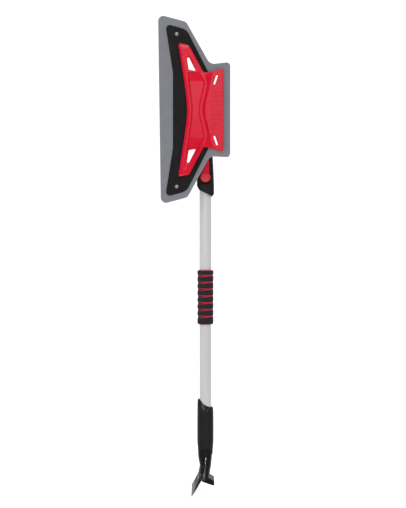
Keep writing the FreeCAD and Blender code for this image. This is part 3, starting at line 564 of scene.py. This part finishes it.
def screw_steel():
    graph = Graph("screw_steel")
    crystals = graph.cells(0.9)
    graph.link(graph.mix(crystals, (0.50, 0.51, 0.53), (0.68, 0.68, 0.66)),
               graph.shader.inputs["Base Color"])
    graph.set(Metallic=1.0)
    graph.rough(0.3, 0.1, 1.2)
    graph.bump((crystals, 0.01), (graph.noise(0.2), 0.006))
    return graph.material


def grip_foam():
    """Two black layers of foam with a red one between, laid a little off the axis."""
    graph = Graph("grip_foam")
    parts = graph.node("ShaderNodeSeparateXYZ")
    graph.link(graph.place, parts.inputs[0])
    swing = graph.maths("SUBTRACT", graph.noise(3.0), 0.5)
    wander = graph.maths("MULTIPLY", swing, LAYER_WANDER * MM)

    def from_axis(shift):
        across = graph.maths("ADD", parts.outputs["X"], shift * MM)
        squares = graph.maths("ADD", graph.maths("MULTIPLY", across, across),
                              graph.maths("MULTIPLY", parts.outputs["Y"], parts.outputs["Y"]))
        return graph.maths("ADD", graph.maths("SQRT", squares), wander)

    core, cover, blur = CORE_RADIUS * MM, COVER_RADIUS * MM, LAYER_BLUR * MM
    above = graph.spread(from_axis(CORE_SHIFT), 0, 1, core - blur, core + blur)
    below = graph.spread(from_axis(0.0), 1, 0, cover - blur, cover + blur)
    red = graph.maths("MULTIPLY", above, below)
    black = graph.mix(graph.noise(2.5), (0.011, 0.0105, 0.012), (0.023, 0.022, 0.026))
    bright = graph.mix(graph.noise(2.0), (0.36, 0.008, 0.035), (0.50, 0.02, 0.06))
    graph.link(graph.mix(red, black, bright), graph.shader.inputs["Base Color"])
    graph.set(Specular_IOR_Level=0.2, Sheen_Weight=0.05)
    graph.rough(0.85, 0.08)
    graph.bump((graph.cells(0.55), 0.06), (graph.noise(3.0), 0.12))
    return graph.material


def grey_foam():
    graph = Graph("grey_foam")
    colour = graph.mottled((0.188, 0.195, 0.215), 0.05, 22.0)
    speck = graph.spread(graph.cells(0.8), 0, 0.35, 0.0, 0.9)
    graph.link(graph.mix(speck, colour, (0.145, 0.15, 0.165)), graph.shader.inputs["Base Color"])
    graph.set(Specular_IOR_Level=0.2, Sheen_Weight=0.05)
    graph.rough(0.9, 0.06)
    graph.bump((graph.cells(0.75), 0.07), (graph.noise(9.0, 5.0), 0.25))
    return graph.material


def black_sheet():
    graph = Graph("black_sheet")
    graph.mottled((0.0125, 0.0115, 0.012), 0.15, 20.0)
    graph.set(Specular_IOR_Level=0.12)
    graph.rough(0.6, 0.08)
    graph.bump((graph.cells(0.7, "SMOOTH_F1"), 0.04), (graph.noise(0.3), 0.01))
    return graph.material


def red_moulding():
    graph = Graph("red_moulding")
    colour = graph.mottled((0.565, 0.0012, 0.0205), 0.04, 30.0)
    # painted highlight along the convex edges
    graph.painted_edge_highlight(colour, (0.6, 0.01, 0.03), 0.12)
    graph.set(Specular_IOR_Level=0.5)
    graph.rough(0.17, 0.04)
    graph.bump((graph.noise(0.35), 0.006), (graph.noise(7.0), 0.03))
    return graph.material


def black_moulding():
    graph = Graph("black_moulding")
    colour = graph.mottled((0.0125, 0.0118, 0.0125), 0.12, 18.0)
    # painted highlight along the convex edges
    graph.painted_edge_highlight(colour, (0.035, 0.035, 0.037), 0.5)
    graph.set(Specular_IOR_Level=0.25)
    graph.rough(0.5, 0.07)
    graph.bump((graph.noise(0.45, 5.0), 0.035), (graph.noise(11.0), 0.05))
    return graph.material


def gloss_black():
    graph = Graph("gloss_black")
    colour = graph.mottled((0.008, 0.0075, 0.011), 0.15, 16.0)
    # painted highlight along the convex edges
    graph.painted_edge_highlight(colour, (0.04, 0.04, 0.045), 0.4)
    graph.set(Specular_IOR_Level=0.55, Coat_Weight=0.4, Coat_Roughness=0.06)
    graph.rough(0.14, 0.05, 5.0)
    graph.bump((graph.noise(0.5), 0.004), (graph.noise(9.0), 0.09))
    return graph.material


def soft_black():
    graph = Graph("soft_black")
    graph.mottled((0.0115, 0.0115, 0.012), 0.12, 12.0)
    graph.set(Specular_IOR_Level=0.7, Sheen_Weight=0.02)
    graph.rough(0.36, 0.05)
    graph.bump((graph.noise(0.5, 5.0), 0.03), (graph.noise(6.0), 0.08))
    return graph.material


MATERIALS = {build.__name__: build() for build in (
    satin_aluminium, rivet_aluminium, screw_steel, grip_foam, grey_foam, black_sheet,
    red_moulding, black_moulding, gloss_black, soft_black)}

for node in frame["nodes"].values():
    for place in node.material_slots:
        place.material = MATERIALS[place.material.name.split(".")[0]]


# -------------------- foam board

def make_foam_board():
    """Closed-cell foam with rolled edges, cut through at the four openings."""
    edge, hole_corner = 2.4, 2.5
    outline, holes = face_loops("foam_board", FOAM_BACK)
    holes = [soft_corners(hole, hole_corner) for hole in holes]
    recess_radius, recess_depth, recess_wall = 27, 7, 0.1   # room for the rear frame's bosses
    recess = circle(0, 0, recess_radius)
    creases = edge_rows(outline, holes, edge) + [recess, inset(recess, recess_wall)]

    def front(points):
        return FOAM_FRONT - rounding(edge_distance(points, outline, holes), edge)

    def back(points):
        sunk = inside_distance(points, recess) > recess_wall / 2
        rolled = rounding(edge_distance(points, outline, holes), edge)
        return FOAM_BACK + rolled + recess_depth * sunk

    piece = plate("foam_board_soft", outline, holes, creases, front, back, "grey_foam")
    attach(piece, "head")
    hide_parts("foam_board")


# -------------------- red front frame

POCKET = mirrored([(-29.1, 0, 150), (-35.7, 53.5, 90), (-47.6, 126, 2), (-39.8, 128.5, 2.5),
                   (-2.6, 62.8, 4), (-1.0, 53.5, 3), (-10.8, 11, 14)])
CREST = mirrored([(-6.8, 0, 0), (-6.8, 8, 12), (3.3, 52, 4), (-3.1, 79, 0), (-3.1, 130, 0),
                  (70, 130, 0)])
FOOT = mirrored([(0, 0, 0), (0, 9, 10), (9.4, 52, 6), (16.5, 84, 0), (16.5, 120, 0),
                 (60, 120, 0)])
POCKET_WALL = 3.2
# Height on the frame and depth of the pocket's floor below its rim.
FLOOR = ((-126, 0.6), (-113, 0.8), (-84, 4.4), (-61, 2.6), (-20, 1.9), (20, 1.9), (61, 3.0),
         (80, 0.4), (126, 0.4))
PANEL_DROP = 3.4
RIM_FALL, RIM_WIDTH = 2.4, 5.5
FLANK_FALL, FLANK_WIDTH = 1.2, 7.0
BAR_HALF_WIDTH, BAR_HALF_HEIGHT, BAR_PITCH, BAR_COUNT = 9.2, 2.1, 9.6, 9
BAR_X, BAR_RISE, BAR_WALL, BAR_CORNER = 21.5, 0.9, 0.6, 1.5
ARM_LEFT, ARM_RIGHT, ARM_Z = -36, -3, 74   # the arms' inner flanks lie within these limits
LARGE_OPENING = 150                        # area that parts the two pairs of openings
LARGE_CORNER, SMALL_CORNER = 2.0, 1.9      # corners of the large and the small openings


def bars():
    """Plain raised bars down the flat panel."""
    left, right = BAR_X - BAR_HALF_WIDTH, BAR_X + BAR_HALF_WIDTH
    return [rounded_box(left, right, z - BAR_HALF_HEIGHT, z + BAR_HALF_HEIGHT, BAR_CORNER)
            for z in spaced(BAR_COUNT, BAR_PITCH)]


def level_lines(low, high, left, right):
    """A closed loop with two sides that lie across a plate at two heights."""
    return np.array([(left, low), (right, low), (right, high), (left, high)], float)


def left_edge(outline):
    """The part of the frame's outline that faces the working edge, from end to end."""
    top = outline[np.argmax(outline[:, 1] - outline[:, 0])]
    chosen = [p for p in outline if p[0] < ARM_LEFT and abs(p[1]) <= top[1]]
    return np.array(sorted(chosen, key=lambda p: p[1]))


def flank_edges(outline):
    """The edges of the two arms that face the panel, upper and lower."""
    edges = []
    for side in (1, -1):
        chosen = [p for p in outline if ARM_LEFT < p[0] < ARM_RIGHT and p[1] * side > ARM_Z]
        edges.append(np.array(sorted(chosen, key=lambda p: p[1])))
    return edges


def make_front_frame():
    """Red moulding: sloped rim, hourglass pocket, ridge, sunk panel with raised bars."""
    edge = 1.5
    outline, holes = face_loops("front_frame", FRAME_BACK, FRAME_Z)
    holes = [soft_corners(hole, LARGE_CORNER if area(hole) > LARGE_OPENING else SMALL_CORNER)
             for hole in holes]
    pocket, crest, foot = rounded(POCKET), rounded(CREST), rounded(FOOT)
    raised = bars()
    rim, flanks = left_edge(outline), flank_edges(outline)
    creases = edge_rows(outline, holes, edge) + wall_rows(pocket, POCKET_WALL)
    creases += [crest, foot, inset(outline, RIM_WIDTH / 2), inset(outline, RIM_WIDTH)]
    floor_heights, floor_depths = zip(*FLOOR)
    left, right = -60, 20     # a little past the pocket on either side
    for k in range(len(FLOOR) // 2):
        creases.append(level_lines(floor_heights[k], floor_heights[-1 - k], left, right))
    for bar in raised:
        creases += wall_rows(bar, BAR_WALL, 2)

    def front(points):
        height = points[:, 1]
        near_rim = np.clip(1 - line_distance(points, rim) / RIM_WIDTH, 0, 1)
        level = FRAME_FRONT - RIM_FALL * near_rim
        for flank in flanks:
            level -= FLANK_FALL * np.clip(1 - line_distance(points, flank) / FLANK_WIDTH, 0, 1)
        deep = np.interp(height, floor_heights, floor_depths)
        level -= deep * smooth(inside_distance(points, pocket) / POCKET_WALL)
        past_crest = np.maximum(inside_distance(points, crest), 0)
        before_foot = np.maximum(-inside_distance(points, foot), 0)
        level -= PANEL_DROP * past_crest / np.maximum(past_crest + before_foot, 1e-6)
        for bar in raised:
            level += BAR_RISE * smooth(inside_distance(points, bar) / BAR_WALL)
        return level - rounding(edge_distance(points, outline, holes), edge)

    def back(points):
        return np.full(len(points), FRAME_BACK)

    piece = plate("front_frame_moulding", outline, holes, creases, front, back,
                  "red_moulding", onto_front_frame)
    dress(piece, "red_moulding", FACET_ANGLE)
    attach(piece, "head")
    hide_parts("front_frame")


# -------------------- red rear frame

RIB_HALF, RIB_WALL, RIM_IN = 1.1, 0.7, 6.0
HUB_RING = 33.0
RIB_ENDS = ((-46, 118), (31, 80), (-34, 52))   # where the upper ribs end; the lower mirror them
SIDE_RIB_END = 36.0
SUNK_DEPTH = 1.5   # depth of the field inside the raised rim


def straight_ribs():
    """The ribs' middle lines, each from the ring outwards."""
    ribs = []
    for side in (1, -1):
        for x, z in RIB_ENDS:
            far = np.array((x, z * side), float)
            ribs.append(np.array((far / np.linalg.norm(far) * HUB_RING, far)))
    ribs.append(np.array(((HUB_RING, 0.0), (SIDE_RIB_END, 0.0))))
    return ribs


def rib_outline(rib, half):
    """A rectangle of a half width round a rib's middle line."""
    along = (rib[1] - rib[0]) / np.linalg.norm(rib[1] - rib[0])
    across = np.array((-along[1], along[0])) * half
    return anticlockwise(np.array((rib[0] + across, rib[1] + across,
                                   rib[1] - across, rib[0] - across)))


def make_rear_frame():
    """Red backing plate with a raised rim, a ring round the disc and stiffening ribs."""
    edge, hole_corner = 1.0, 2.5
    outline, holes = face_loops("rear_frame", REAR_FRONT)
    holes = [soft_corners(hole, hole_corner) for hole in holes]
    sunk, ribs, ring = inset(outline, RIM_IN), straight_ribs(), circle(0, 0, HUB_RING)
    creases = edge_rows(outline, holes, edge) + wall_rows(sunk, RIB_WALL, 2)
    for step in (RIB_HALF + RIB_WALL, RIB_HALF, -RIB_HALF, -RIB_HALF - RIB_WALL):
        creases.append(inset(ring, step))
    for rib in ribs:
        creases += [rib_outline(rib, half) for half in (RIB_HALF, RIB_HALF + RIB_WALL)]

    def front(points):
        return np.full(len(points), REAR_FRONT)

    def back(points):
        low = smooth(inside_distance(points, sunk) / RIB_WALL)
        low *= smooth((np.abs(inside_distance(points, ring)) - RIB_HALF) / RIB_WALL)
        for rib in ribs:
            low *= smooth((line_distance(points, rib) - RIB_HALF) / RIB_WALL)
        in_hub = np.linalg.norm(points, axis=1) < HUB_RING - RIB_HALF - RIB_WALL
        low = np.where(in_hub, 1, low)
        rolled = rounding(edge_distance(points, outline, holes), edge)
        return REAR_BACK + SUNK_DEPTH * low + rolled

    piece = plate("rear_frame_moulding", outline, holes, creases, front, back, "red_moulding")
    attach(piece, "head")
    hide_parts("rear_frame")


# -------------------- arm and button

def make_head_arm():
    """The CAD arm with its edges and inner corners softened like a real moulding."""
    piece = moulded(copied("head_arm", "head_arm_moulding"), "black_moulding",
                    voxel=0.8, passes=5)
    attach(piece, "handle")
    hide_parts("head_arm")


BUTTON_BACK_GAP, PAD_GAP = 0.4, 0.45      # clearance behind the button and round its pad
PAD_BACK, PAD_EDGE = 17.8, 0.9            # depth of the pad's back, and its edge radius
DISH_RADIUS, DISH_SINK, DISH_SLOPE = 60.0, 0.7, 0.14
STEM_HALF, STEM_DROP, STEM_CORNER = 8.4, 1.5, 1.5
STEM_FLAT, STEM_FALL, STEM_SPAN = 3, 0.6, 6   # the stem falls off outside its flat middle
WINDOW_HALF, WINDOW_BELOW, WINDOW_ABOVE, WINDOW_CORNER = 3.6, 8, 0.1, 1


def button_outline(pad_z, pad_radius):
    """A round pad that runs into a straight stem, whose top is forked for the lock bolt."""
    top = heights("release_button")[1]
    fork_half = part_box("lock_bolt")[1].x / MM
    fork_z = heights("lock_bolt")[0]
    join = math.acos(STEM_HALF / pad_radius)
    angles = np.linspace(math.pi - join, 2 * math.pi + join, 72)
    around = [(pad_radius * math.cos(a), pad_z + pad_radius * math.sin(a), 0) for a in angles]
    stem = [(STEM_HALF, top, STEM_CORNER), (fork_half, top, 0), (fork_half, fork_z, 0),
            (-fork_half, fork_z, 0), (-fork_half, top, 0), (-STEM_HALF, top, STEM_CORNER)]
    return rounded(around + stem)


def spring_window():
    """The opening in the stem that the spring lies in."""
    low, high = heights("button_spring")
    return rounded_box(-WINDOW_HALF, WINDOW_HALF, low - WINDOW_BELOW, high + WINDOW_ABOVE,
                       WINDOW_CORNER)


def make_release_button():
    """Red slider: a dished thumb pad on a flat stem, forked for the lock bolt."""
    back_level, front_level = depths("release_button")
    back_level += BUTTON_BACK_GAP
    low = heights("release_button")[0]
    pad_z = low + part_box("release_button")[1].x / MM
    pad_radius = pad_z - low - PAD_GAP
    outline, window = button_outline(pad_z, pad_radius), spring_window()
    pad = circle(0, pad_z, pad_radius)
    dish_rim = math.sqrt(DISH_RADIUS ** 2 - (DISH_RADIUS - DISH_SINK) ** 2)
    creases = edge_rows(outline, [window], PAD_EDGE)
    creases += [circle(0, pad_z, dish_rim * share / 6) for share in range(1, 7)]
    creases += [inset(pad, -1.5), inset(outline, 2.2), inset(outline, 4)]

    def front(points):
        reach = np.hypot(points[:, 0], points[:, 1] - pad_z)
        bowl = DISH_RADIUS - DISH_SINK + front_level
        dish = bowl - np.sqrt(np.maximum(DISH_RADIUS ** 2 - reach ** 2, 0))
        dish = np.minimum(np.where(reach < dish_rim, dish, front_level), front_level)
        dish = dish - DISH_SLOPE * (points[:, 1] - low)
        fall = STEM_FALL * smooth((np.abs(points[:, 0]) - STEM_FLAT) / STEM_SPAN)
        level = np.where(reach < pad_radius, dish, front_level - STEM_DROP - fall)
        return level - rounding(edge_distance(points, outline, [window]), PAD_EDGE)

    def back(points):
        """The pad's back and the stem's lower side edges are raised to clear the arm."""
        beside = (np.abs(points[:, 0]) > STEM_HALF - 1.5) & (points[:, 1] < pad_z + 16)
        return np.where(beside | (points[:, 1] < pad_z + 1), PAD_BACK, back_level)

    piece = plate("release_button_slider", outline, [window], creases, front, back,
                  "red_moulding", onto_handle)
    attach(piece, "button")
    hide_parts("release_button")


def make_button_spring():
    """The CAD spring, smoothly shaded; in the real object it shortens as the button slides down.
    """
    piece = copied("button_spring", "button_spring_coil")
    dress(piece, "screw_steel", WIRE_ANGLE)
    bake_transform(piece)
    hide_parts("button_spring")


# -------------------- hand grip

GROOVE_COUNT, GROOVE_DEPTH, GROOVE_LIFT = 7, 1.35, 2.6
GROOVE_HALF, GROOVE_NARROWING, GROOVE_TILT = 3.6, 1.3, 0.7
GRIP_END, GRIP_ROW = 3.2, 0.55   # radius of the ends, and height of a row of faces
BORE_GAP = 0.05                  # clearance of a sleeve's bore on the tube


def make_foam_grip():
    """Layered foam sleeve, cut round with grooves that bare its red layer."""
    low, high = heights("foam_grip")
    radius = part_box("foam_grip")[1].x / MM
    pitch = (high - low) / (GROOVE_COUNT + 1)
    low_end = [low + GRIP_END * (1 - math.cos(a)) for a in np.linspace(0, math.pi / 2, 7)]
    steps = round((high - low - 2 * GRIP_END) / GRIP_ROW)
    straight = np.linspace(low + GRIP_END, high - GRIP_END, steps)[1:-1].tolist()
    levels = low_end + straight + [low + high - z for z in reversed(low_end)]
    angles = np.linspace(0, 2 * math.pi, 96, endpoint=False)
    bore = TUBE_RADIUS + BORE_GAP

    def ring(r, z):
        return np.stack((r * np.cos(angles), r * np.sin(angles), np.full(len(angles), z)), axis=1)

    grooves = [low + pitch * (k + 1) + GROOVE_LIFT for k in range(GROOVE_COUNT)]
    half = GROOVE_HALF - GROOVE_NARROWING * np.cos(angles)
    tilt = GROOVE_TILT * np.cos(angles)
    rings = [ring(bore, low)]
    for z in levels:
        away = np.min([np.abs(z - tilt - groove) for groove in grooves], axis=0) / half
        cut = GROOVE_DEPTH * (1 - smooth(away))
        end_fall = float(rounding(min(z - low, high - z), GRIP_END))
        rings.append(ring(radius - BORE_GAP - cut - end_fall, z))
    rings.append(ring(bore, high))
    piece = skin("foam_grip_layers", rings, "grip_foam", closed=True)
    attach(piece, "handle")
    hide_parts("foam_grip")


# -------------------- scraper

# Height, half width, half depth and squareness of the scraper's neck, and its shift in x.
NECK = ((-322, 15.4, 16.0, 2.2, -0.3), (-334, 15.4, 16.4, 2.2, -0.7),
        (-346, 15.0, 17.2, 2.2, -0.7), (-356, 13.8, 18.6, 2.1, -0.4),
        (-365, 12.6, 20.2, 2.1, 0.0), (-376, 12.5, 23.6, 2.3, -1.8),
        (-386, 12.6, 29.0, 2.7, -3.3), (-392, 11.6, 30.5, 3.0, -3.0))


def neck_section(z):
    """Half width, half depth, squareness and shift of the neck at a height."""
    rows = np.array(NECK[::-1], float)
    slopes = np.gradient(rows, rows[:, 0], axis=0)
    k = int(np.clip(np.searchsorted(rows[:, 0], z) - 1, 0, len(rows) - 2))
    span = rows[k + 1, 0] - rows[k, 0]
    t = (z - rows[k, 0]) / span
    ease = t * t * (3 - 2 * t)
    bend = span * t * (1 - t) * ((1 - t) * slopes[k] - t * slopes[k + 1])
    return (rows[k] * (1 - ease) + rows[k + 1] * ease + bend)[1:]


SCOOP_X, SCOOP_Z, SCOOP_RADIUS = 36.8, -162.6, 80.1   # the arc that cuts the sleeve's top
ARCH_TOP, ARCH_FALL = -327.0, 15.0      # the lower edge, arched up at the front and the back
BAND, BAND_DEPTH, BAND_BASE = 11.0, 3.8, 0.6   # bevelled band below the scoop, deepest in front
RIM_DEPTH, RIM_FADE = 0.5, 1.5          # rounding of the scoop's rim
NOTCH, NOTCH_X, NOTCH_HALF, NOTCH_DEPTH, NOTCH_WALL = 15.0, -3.4, 4.4, 2.2, 0.8
CREASE_DEPTH, CREASE_HALF = 0.45, 0.9   # the shallow line that runs down from the notch
LIP, LIP_RISE = 1.4, 0.8


def scoop_height(x):
    return SCOOP_Z - np.sqrt(SCOOP_RADIUS ** 2 - (x - SCOOP_X) ** 2)


def make_scraper_sleeve():
    """Soft sleeve: scooped top with a bevelled band and a notch, arched lower edge."""
    angles = np.linspace(0, 2 * math.pi, 180, endpoint=False)
    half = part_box("scraper_sleeve")[1].x / MM - 0.5
    unit_x, unit_y = oval(angles, 1.0, 1.0, 2.25)
    low_edge = ARCH_TOP - ARCH_FALL * np.abs(unit_x) ** 3
    high_edge = scoop_height(unit_x * half)
    facing = np.clip(-unit_y, 0, 1)

    def outer(share):
        z = low_edge + (high_edge - low_edge) * share
        below_rim = high_edge - z
        band = BAND_BASE + BAND_DEPTH * smooth(facing / 0.7)
        taper = band * np.clip(1 - below_rim / BAND, 0, 1)
        taper += RIM_DEPTH * np.exp(-below_rim / RIM_FADE)
        swell = 0.35 * np.sin(np.pi * np.clip((z + 334) / 100, 0, 1))
        tuck = 1.0 * smooth((-312 - z) / 20)
        size = half - taper + swell - tuck
        for i in np.nonzero(z < ARCH_TOP)[0]:
            neck_half = neck_section(z[i])[0] + 0.4
            ease = float(smooth((ARCH_TOP - z[i]) / 16))
            size[i] = size[i] * (1 - ease) + neck_half * ease
        notch_x = size * unit_x + NOTCH_X
        notch_half = np.clip(NOTCH_HALF * (1 - below_rim / NOTCH), 0, None)
        notch_fall = NOTCH_DEPTH * np.clip(1 - below_rim / NOTCH, 0, 1)
        notch = notch_fall * smooth((notch_half - np.abs(notch_x)) / NOTCH_WALL)
        fade = smooth((below_rim - 8) / 6) * smooth((z + 318) / 30)
        crease = CREASE_DEPTH * np.exp(-(notch_x / CREASE_HALF) ** 2) * fade
        size = size - (notch + crease) * (facing > 0.3)
        return np.stack((size * unit_x, size * unit_y, z), axis=1)

    coarse, fine = np.linspace(0, 0.86, 64)[:-1], np.linspace(0.86, 1, 26)
    rings = [outer(share) for share in np.concatenate((coarse, fine))]
    rim = rings[-1]
    for angle in np.linspace(0.35, math.pi / 2, 4):
        scale = 1 - LIP * (1 - math.cos(angle)) / np.hypot(rim[:, 0], rim[:, 1])
        rings.append(np.stack((rim[:, 0] * scale, rim[:, 1] * scale,
                               rim[:, 2] + LIP_RISE * math.sin(angle)), axis=1))
    bore = TUBE_RADIUS + BORE_GAP
    tube_x, tube_y = bore * np.cos(angles), bore * np.sin(angles)
    inner_top = scoop_height(tube_x)
    for z in (inner_top + 0.4, inner_top - 1.2, low_edge + 1):
        rings.append(np.stack((tube_x, tube_y, z), axis=1))
    piece = skin("scraper_sleeve_soft", rings, "soft_black", closed=True)
    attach(piece, "handle")
    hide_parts("scraper_sleeve")


# The blade seen from -X: half of its outline, as y, z and radius, from the working edge up.
BLADE_OUTLINE = [(50, -421.3, 1.5), (46, -411, 18), (40, -400, 30), (30.5, -388, 30),
                 (19, -374, 6)]
BLADE_LOW, BLADE_HIGH = -421.3, -374
# Height and x of the blade's two faces.
BLADE_FRONT = ((BLADE_LOW, -30.6), (-378, -11), (BLADE_HIGH, -9.5))
BLADE_BACK = ((BLADE_LOW, -28.4), (-392, -7.4), (-378, -2), (BLADE_HIGH, -1))
BLADE_HOLLOW, BLADE_EDGE = 0.9, 1.0     # how far the front is dished, and its edge radius
BEVEL, BEVEL_SHARE = 7.0, 0.75          # width of the bevel behind the edge, and its depth
RIB_COUNT, RIB_PITCH, RIB_SIDE, RIB_CORNER = 7, 9.5, 1.6, 1.4
RIB_RISE, RIB_FOOT, RIB_FADE, RIB_TOP, RIB_END = 0.7, 1.2, 3, -389, -409
CHIPPER = [(-7.4, -397, 1), (17.4, -405.4, 1.2), (19.3, -403.6, 1.2), (19.3, -395.5, 2.0),
           (8.6, -389, 3), (-7.4, -386, 1)]
CHIPPER_HALF = 20


def make_blade(slot):
    """Fan-shaped scraping blade, ribbed near its root."""
    outline = rounded(BLADE_OUTLINE + [(-y, z, r) for y, z, r in reversed(BLADE_OUTLINE)])
    middles = spaced(RIB_COUNT, RIB_PITCH)
    creases = edge_rows(outline, [], BLADE_EDGE) + [inset(outline, 4), inset(outline, BEVEL)]
    for y in middles:
        rib = rounded_box(y - RIB_SIDE, y + RIB_SIDE, RIB_END, RIB_TOP, RIB_CORNER)
        creases += wall_rows(rib, RIB_FOOT, 2)
    creases += [level_lines(z, z + 2, -60, 60) for z in range(-418, -376, 4)]

    def front(points):
        z = points[:, 1]
        up = np.clip((z - BLADE_LOW) / 43, 0, 1)
        x = np.interp(z, *zip(*BLADE_FRONT)) + BLADE_HOLLOW * np.sin(np.pi * up)
        for y in middles:
            across = smooth((RIB_SIDE - np.abs(points[:, 0] - y)) / RIB_FOOT)
            along = smooth((z - RIB_END) / RIB_FADE) * smooth((RIB_TOP - z) / RIB_FADE)
            x = x - RIB_RISE * across * along
        return -x - rounding(edge_distance(points, outline, []), BLADE_EDGE)

    def back(points):
        low = -np.interp(points[:, 1], *zip(*BLADE_BACK))
        high = -np.interp(points[:, 1], *zip(*BLADE_FRONT))
        near_edge = np.clip(1 - edge_distance(points, outline, []) / BEVEL, 0, 1)
        return low + BEVEL_SHARE * (high - low) * near_edge

    return plate("blade", outline, [], creases, front, back, slot, onto_side)


def make_neck(slot):
    """The socket's fan-shaped neck, lofted through its sections from the bottom up."""
    angles = np.linspace(0, 2 * math.pi, 120, endpoint=False)
    rings = []
    for z in np.linspace(NECK[-1][0], NECK[0][0], 48):
        half_x, half_y, power, shift = neck_section(z)
        x, y = oval(angles, half_x, half_y, power, shift)
        rings.append(np.stack((x, y, np.full(len(angles), z)), axis=1))
    return skin("scraper_head_moulding", rings, slot)


def make_chipper(slot):
    """The wedge behind the blade that breaks ice, with flat sides."""
    return plate("chipper", rounded(CHIPPER), [], [],
                 lambda points: np.full(len(points), CHIPPER_HALF),
                 lambda points: np.full(len(points), -CHIPPER_HALF), slot, onto_handle)


def make_scraper_head():
    """Glossy one-piece moulding: fan-shaped neck, scraping blade and ice chipper."""
    slot = "gloss_black"
    neck, chipper, blade = make_neck(slot), make_chipper(slot), make_blade(slot)
    piece = moulded(merged([neck, blade, chipper]), slot, voxel=0.7, passes=6)
    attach(piece, "handle")
    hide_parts("scraper_head")
    return piece


make_foam_board()
make_front_frame()
make_rear_frame()
make_head_arm()
make_release_button()
make_button_spring()
make_foam_grip()
make_scraper_sleeve()
scraper = make_scraper_head()


# -------------------- floor, light, camera

def make_floor():
    """Pale floor at the height of the CAD's lowest point."""
    half = 15.0
    mesh = bpy.data.meshes.new("floor")
    z = CAD_BOX[0].z
    corners = [(-half, -half, z), (half, -half, z), (half, half, z), (-half, half, z)]
    mesh.from_pydata(corners, [], [(0, 1, 2, 3)])
    floor = added("floor", mesh)
    graph = Graph("pale_floor")
    graph.mottled((0.6, 0.6, 0.6), 0.02, 300.0)
    graph.set(Specular_IOR_Level=0.0, Emission_Color=(1, 1, 1, 1), Emission_Strength=0.85)
    graph.rough(0.9, 0.05)
    mesh.materials.append(graph.material)
    floor.visible_glossy = False


WORLD_SOFT, WORLD_SEEN = 0.72, 1.1   # brightness for soft light, and as a backdrop
# The window that reflections see: each step adds brightness between two heights.
# It fades towards the sides and behind the object.
WINDOW_STEPS = ((0.03, 0.19, 0.95), (0.25, 0.6, 0.6), (0.5, 0.85, 1.0))
SIDE_END, SIDE_START = 0.38, 0.16
FRONT_END, FRONT_START = 0.1, -0.1
ROOM = (-0.2, 1, 0.06, 0.4)          # dim light from all round, brighter from behind


def make_world():
    """White backdrop; reflections see a tall bright window in front and above."""
    world = bpy.data.worlds.new("studio")
    bpy.context.scene.world = world
    world.use_nodes = True
    tree = world.node_tree

    def ramp(source, start, end, low, high):
        made = tree.nodes.new("ShaderNodeMapRange")
        made.interpolation_type = "SMOOTHSTEP"
        for socket, value in zip(made.inputs, (source, start, end, low, high)):
            if value is source:
                tree.links.new(source, socket)
            else:
                socket.default_value = value
        return made.outputs["Result"]

    def maths(operation, first, second=None):
        made = tree.nodes.new("ShaderNodeMath")
        made.operation = operation
        tree.links.new(first, made.inputs[0])
        if second:
            tree.links.new(second, made.inputs[1])
        return made.outputs[0]

    parts = tree.nodes.new("ShaderNodeSeparateXYZ")
    place = tree.nodes.new("ShaderNodeTexCoord").outputs["Generated"]
    tree.links.new(place, parts.inputs[0])
    sideways = maths("ABSOLUTE", parts.outputs["X"])
    window, *others = [ramp(parts.outputs["Z"], start, full, 0, gain)
                       for start, full, gain in WINDOW_STEPS]
    for step in others:
        window = maths("ADD", window, step)
    window = maths("MULTIPLY", window, ramp(sideways, SIDE_END, SIDE_START, 0, 1))
    window = maths("MULTIPLY", window, ramp(parts.outputs["Y"], FRONT_END, FRONT_START, 0, 1))
    mirrored_light = maths("ADD", window, ramp(parts.outputs["Y"], *ROOM))
    path = tree.nodes.new("ShaderNodeLightPath")
    brightness = tree.nodes.new("ShaderNodeMix")
    tree.links.new(path.outputs["Is Glossy Ray"], brightness.inputs[0])
    brightness.inputs[2].default_value = WORLD_SOFT
    tree.links.new(mirrored_light, brightness.inputs[3])
    seen = tree.nodes.new("ShaderNodeMix")
    tree.links.new(path.outputs["Is Camera Ray"], seen.inputs[0])
    tree.links.new(brightness.outputs[0], seen.inputs[2])
    seen.inputs[3].default_value = WORLD_SEEN
    tree.links.new(seen.outputs[0], tree.nodes["Background"].inputs["Strength"])
    tree.nodes["Background"].inputs["Color"].default_value = (1, 1, 1, 1)


def make_light(name, place, target, width, height, watts):
    """A rectangular lamp, kept out of reflections."""
    data = bpy.data.lights.new(name, "AREA")
    data.shape = "RECTANGLE"
    data.size, data.size_y, data.energy = width, height, watts
    lamp = added(name, data)
    lamp.location = place
    lamp.rotation_euler = (Vector(target) - Vector(place)).to_track_quat("-Z", "Y").to_euler()
    lamp.visible_glossy = False
    return lamp


def make_catch_lights(glossy_piece):
    """Two small lamps that light one piece only, and that it mirrors as highlights."""
    lit = bpy.data.collections.new("glossy_parts")
    lit.objects.link(glossy_piece)
    target, size = (0, 0, -0.358), 0.05
    for name, place, watts in (("left_catch_light", (-0.80, -0.60, -0.29), 0.4),
                               ("right_catch_light", (0.12, -0.98, -0.33), 0.7)):
        lamp = make_light(name, place, target, size, size, watts)
        lamp.visible_glossy = True
        lamp.light_linking.receiver_collection = lit


def make_camera():
    """Level with the tube just above the grip, and square on to the head's face."""
    data = bpy.data.cameras.new("camera")
    data.lens = 57.4
    data.sensor_width = 36
    data.clip_end = 60
    camera = added("camera", data)
    camera.location = (-0.0052, -1.765, 0.094)
    camera.rotation_euler = (math.pi / 2, 0, 0)
    bpy.context.scene.camera = camera


make_floor()
make_world()
make_light("front_softbox", (0.25, -2.5, 1.15), (0, 0, 0.25), 1.3, 1.5, 10)
make_light("left_softbox", (-1.7, -1.2, 0.9), (0, 0, 0.0), 0.8, 1.6, 6)
make_catch_lights(scraper)
make_camera()
bpy.context.scene.view_settings.view_transform = "Standard"
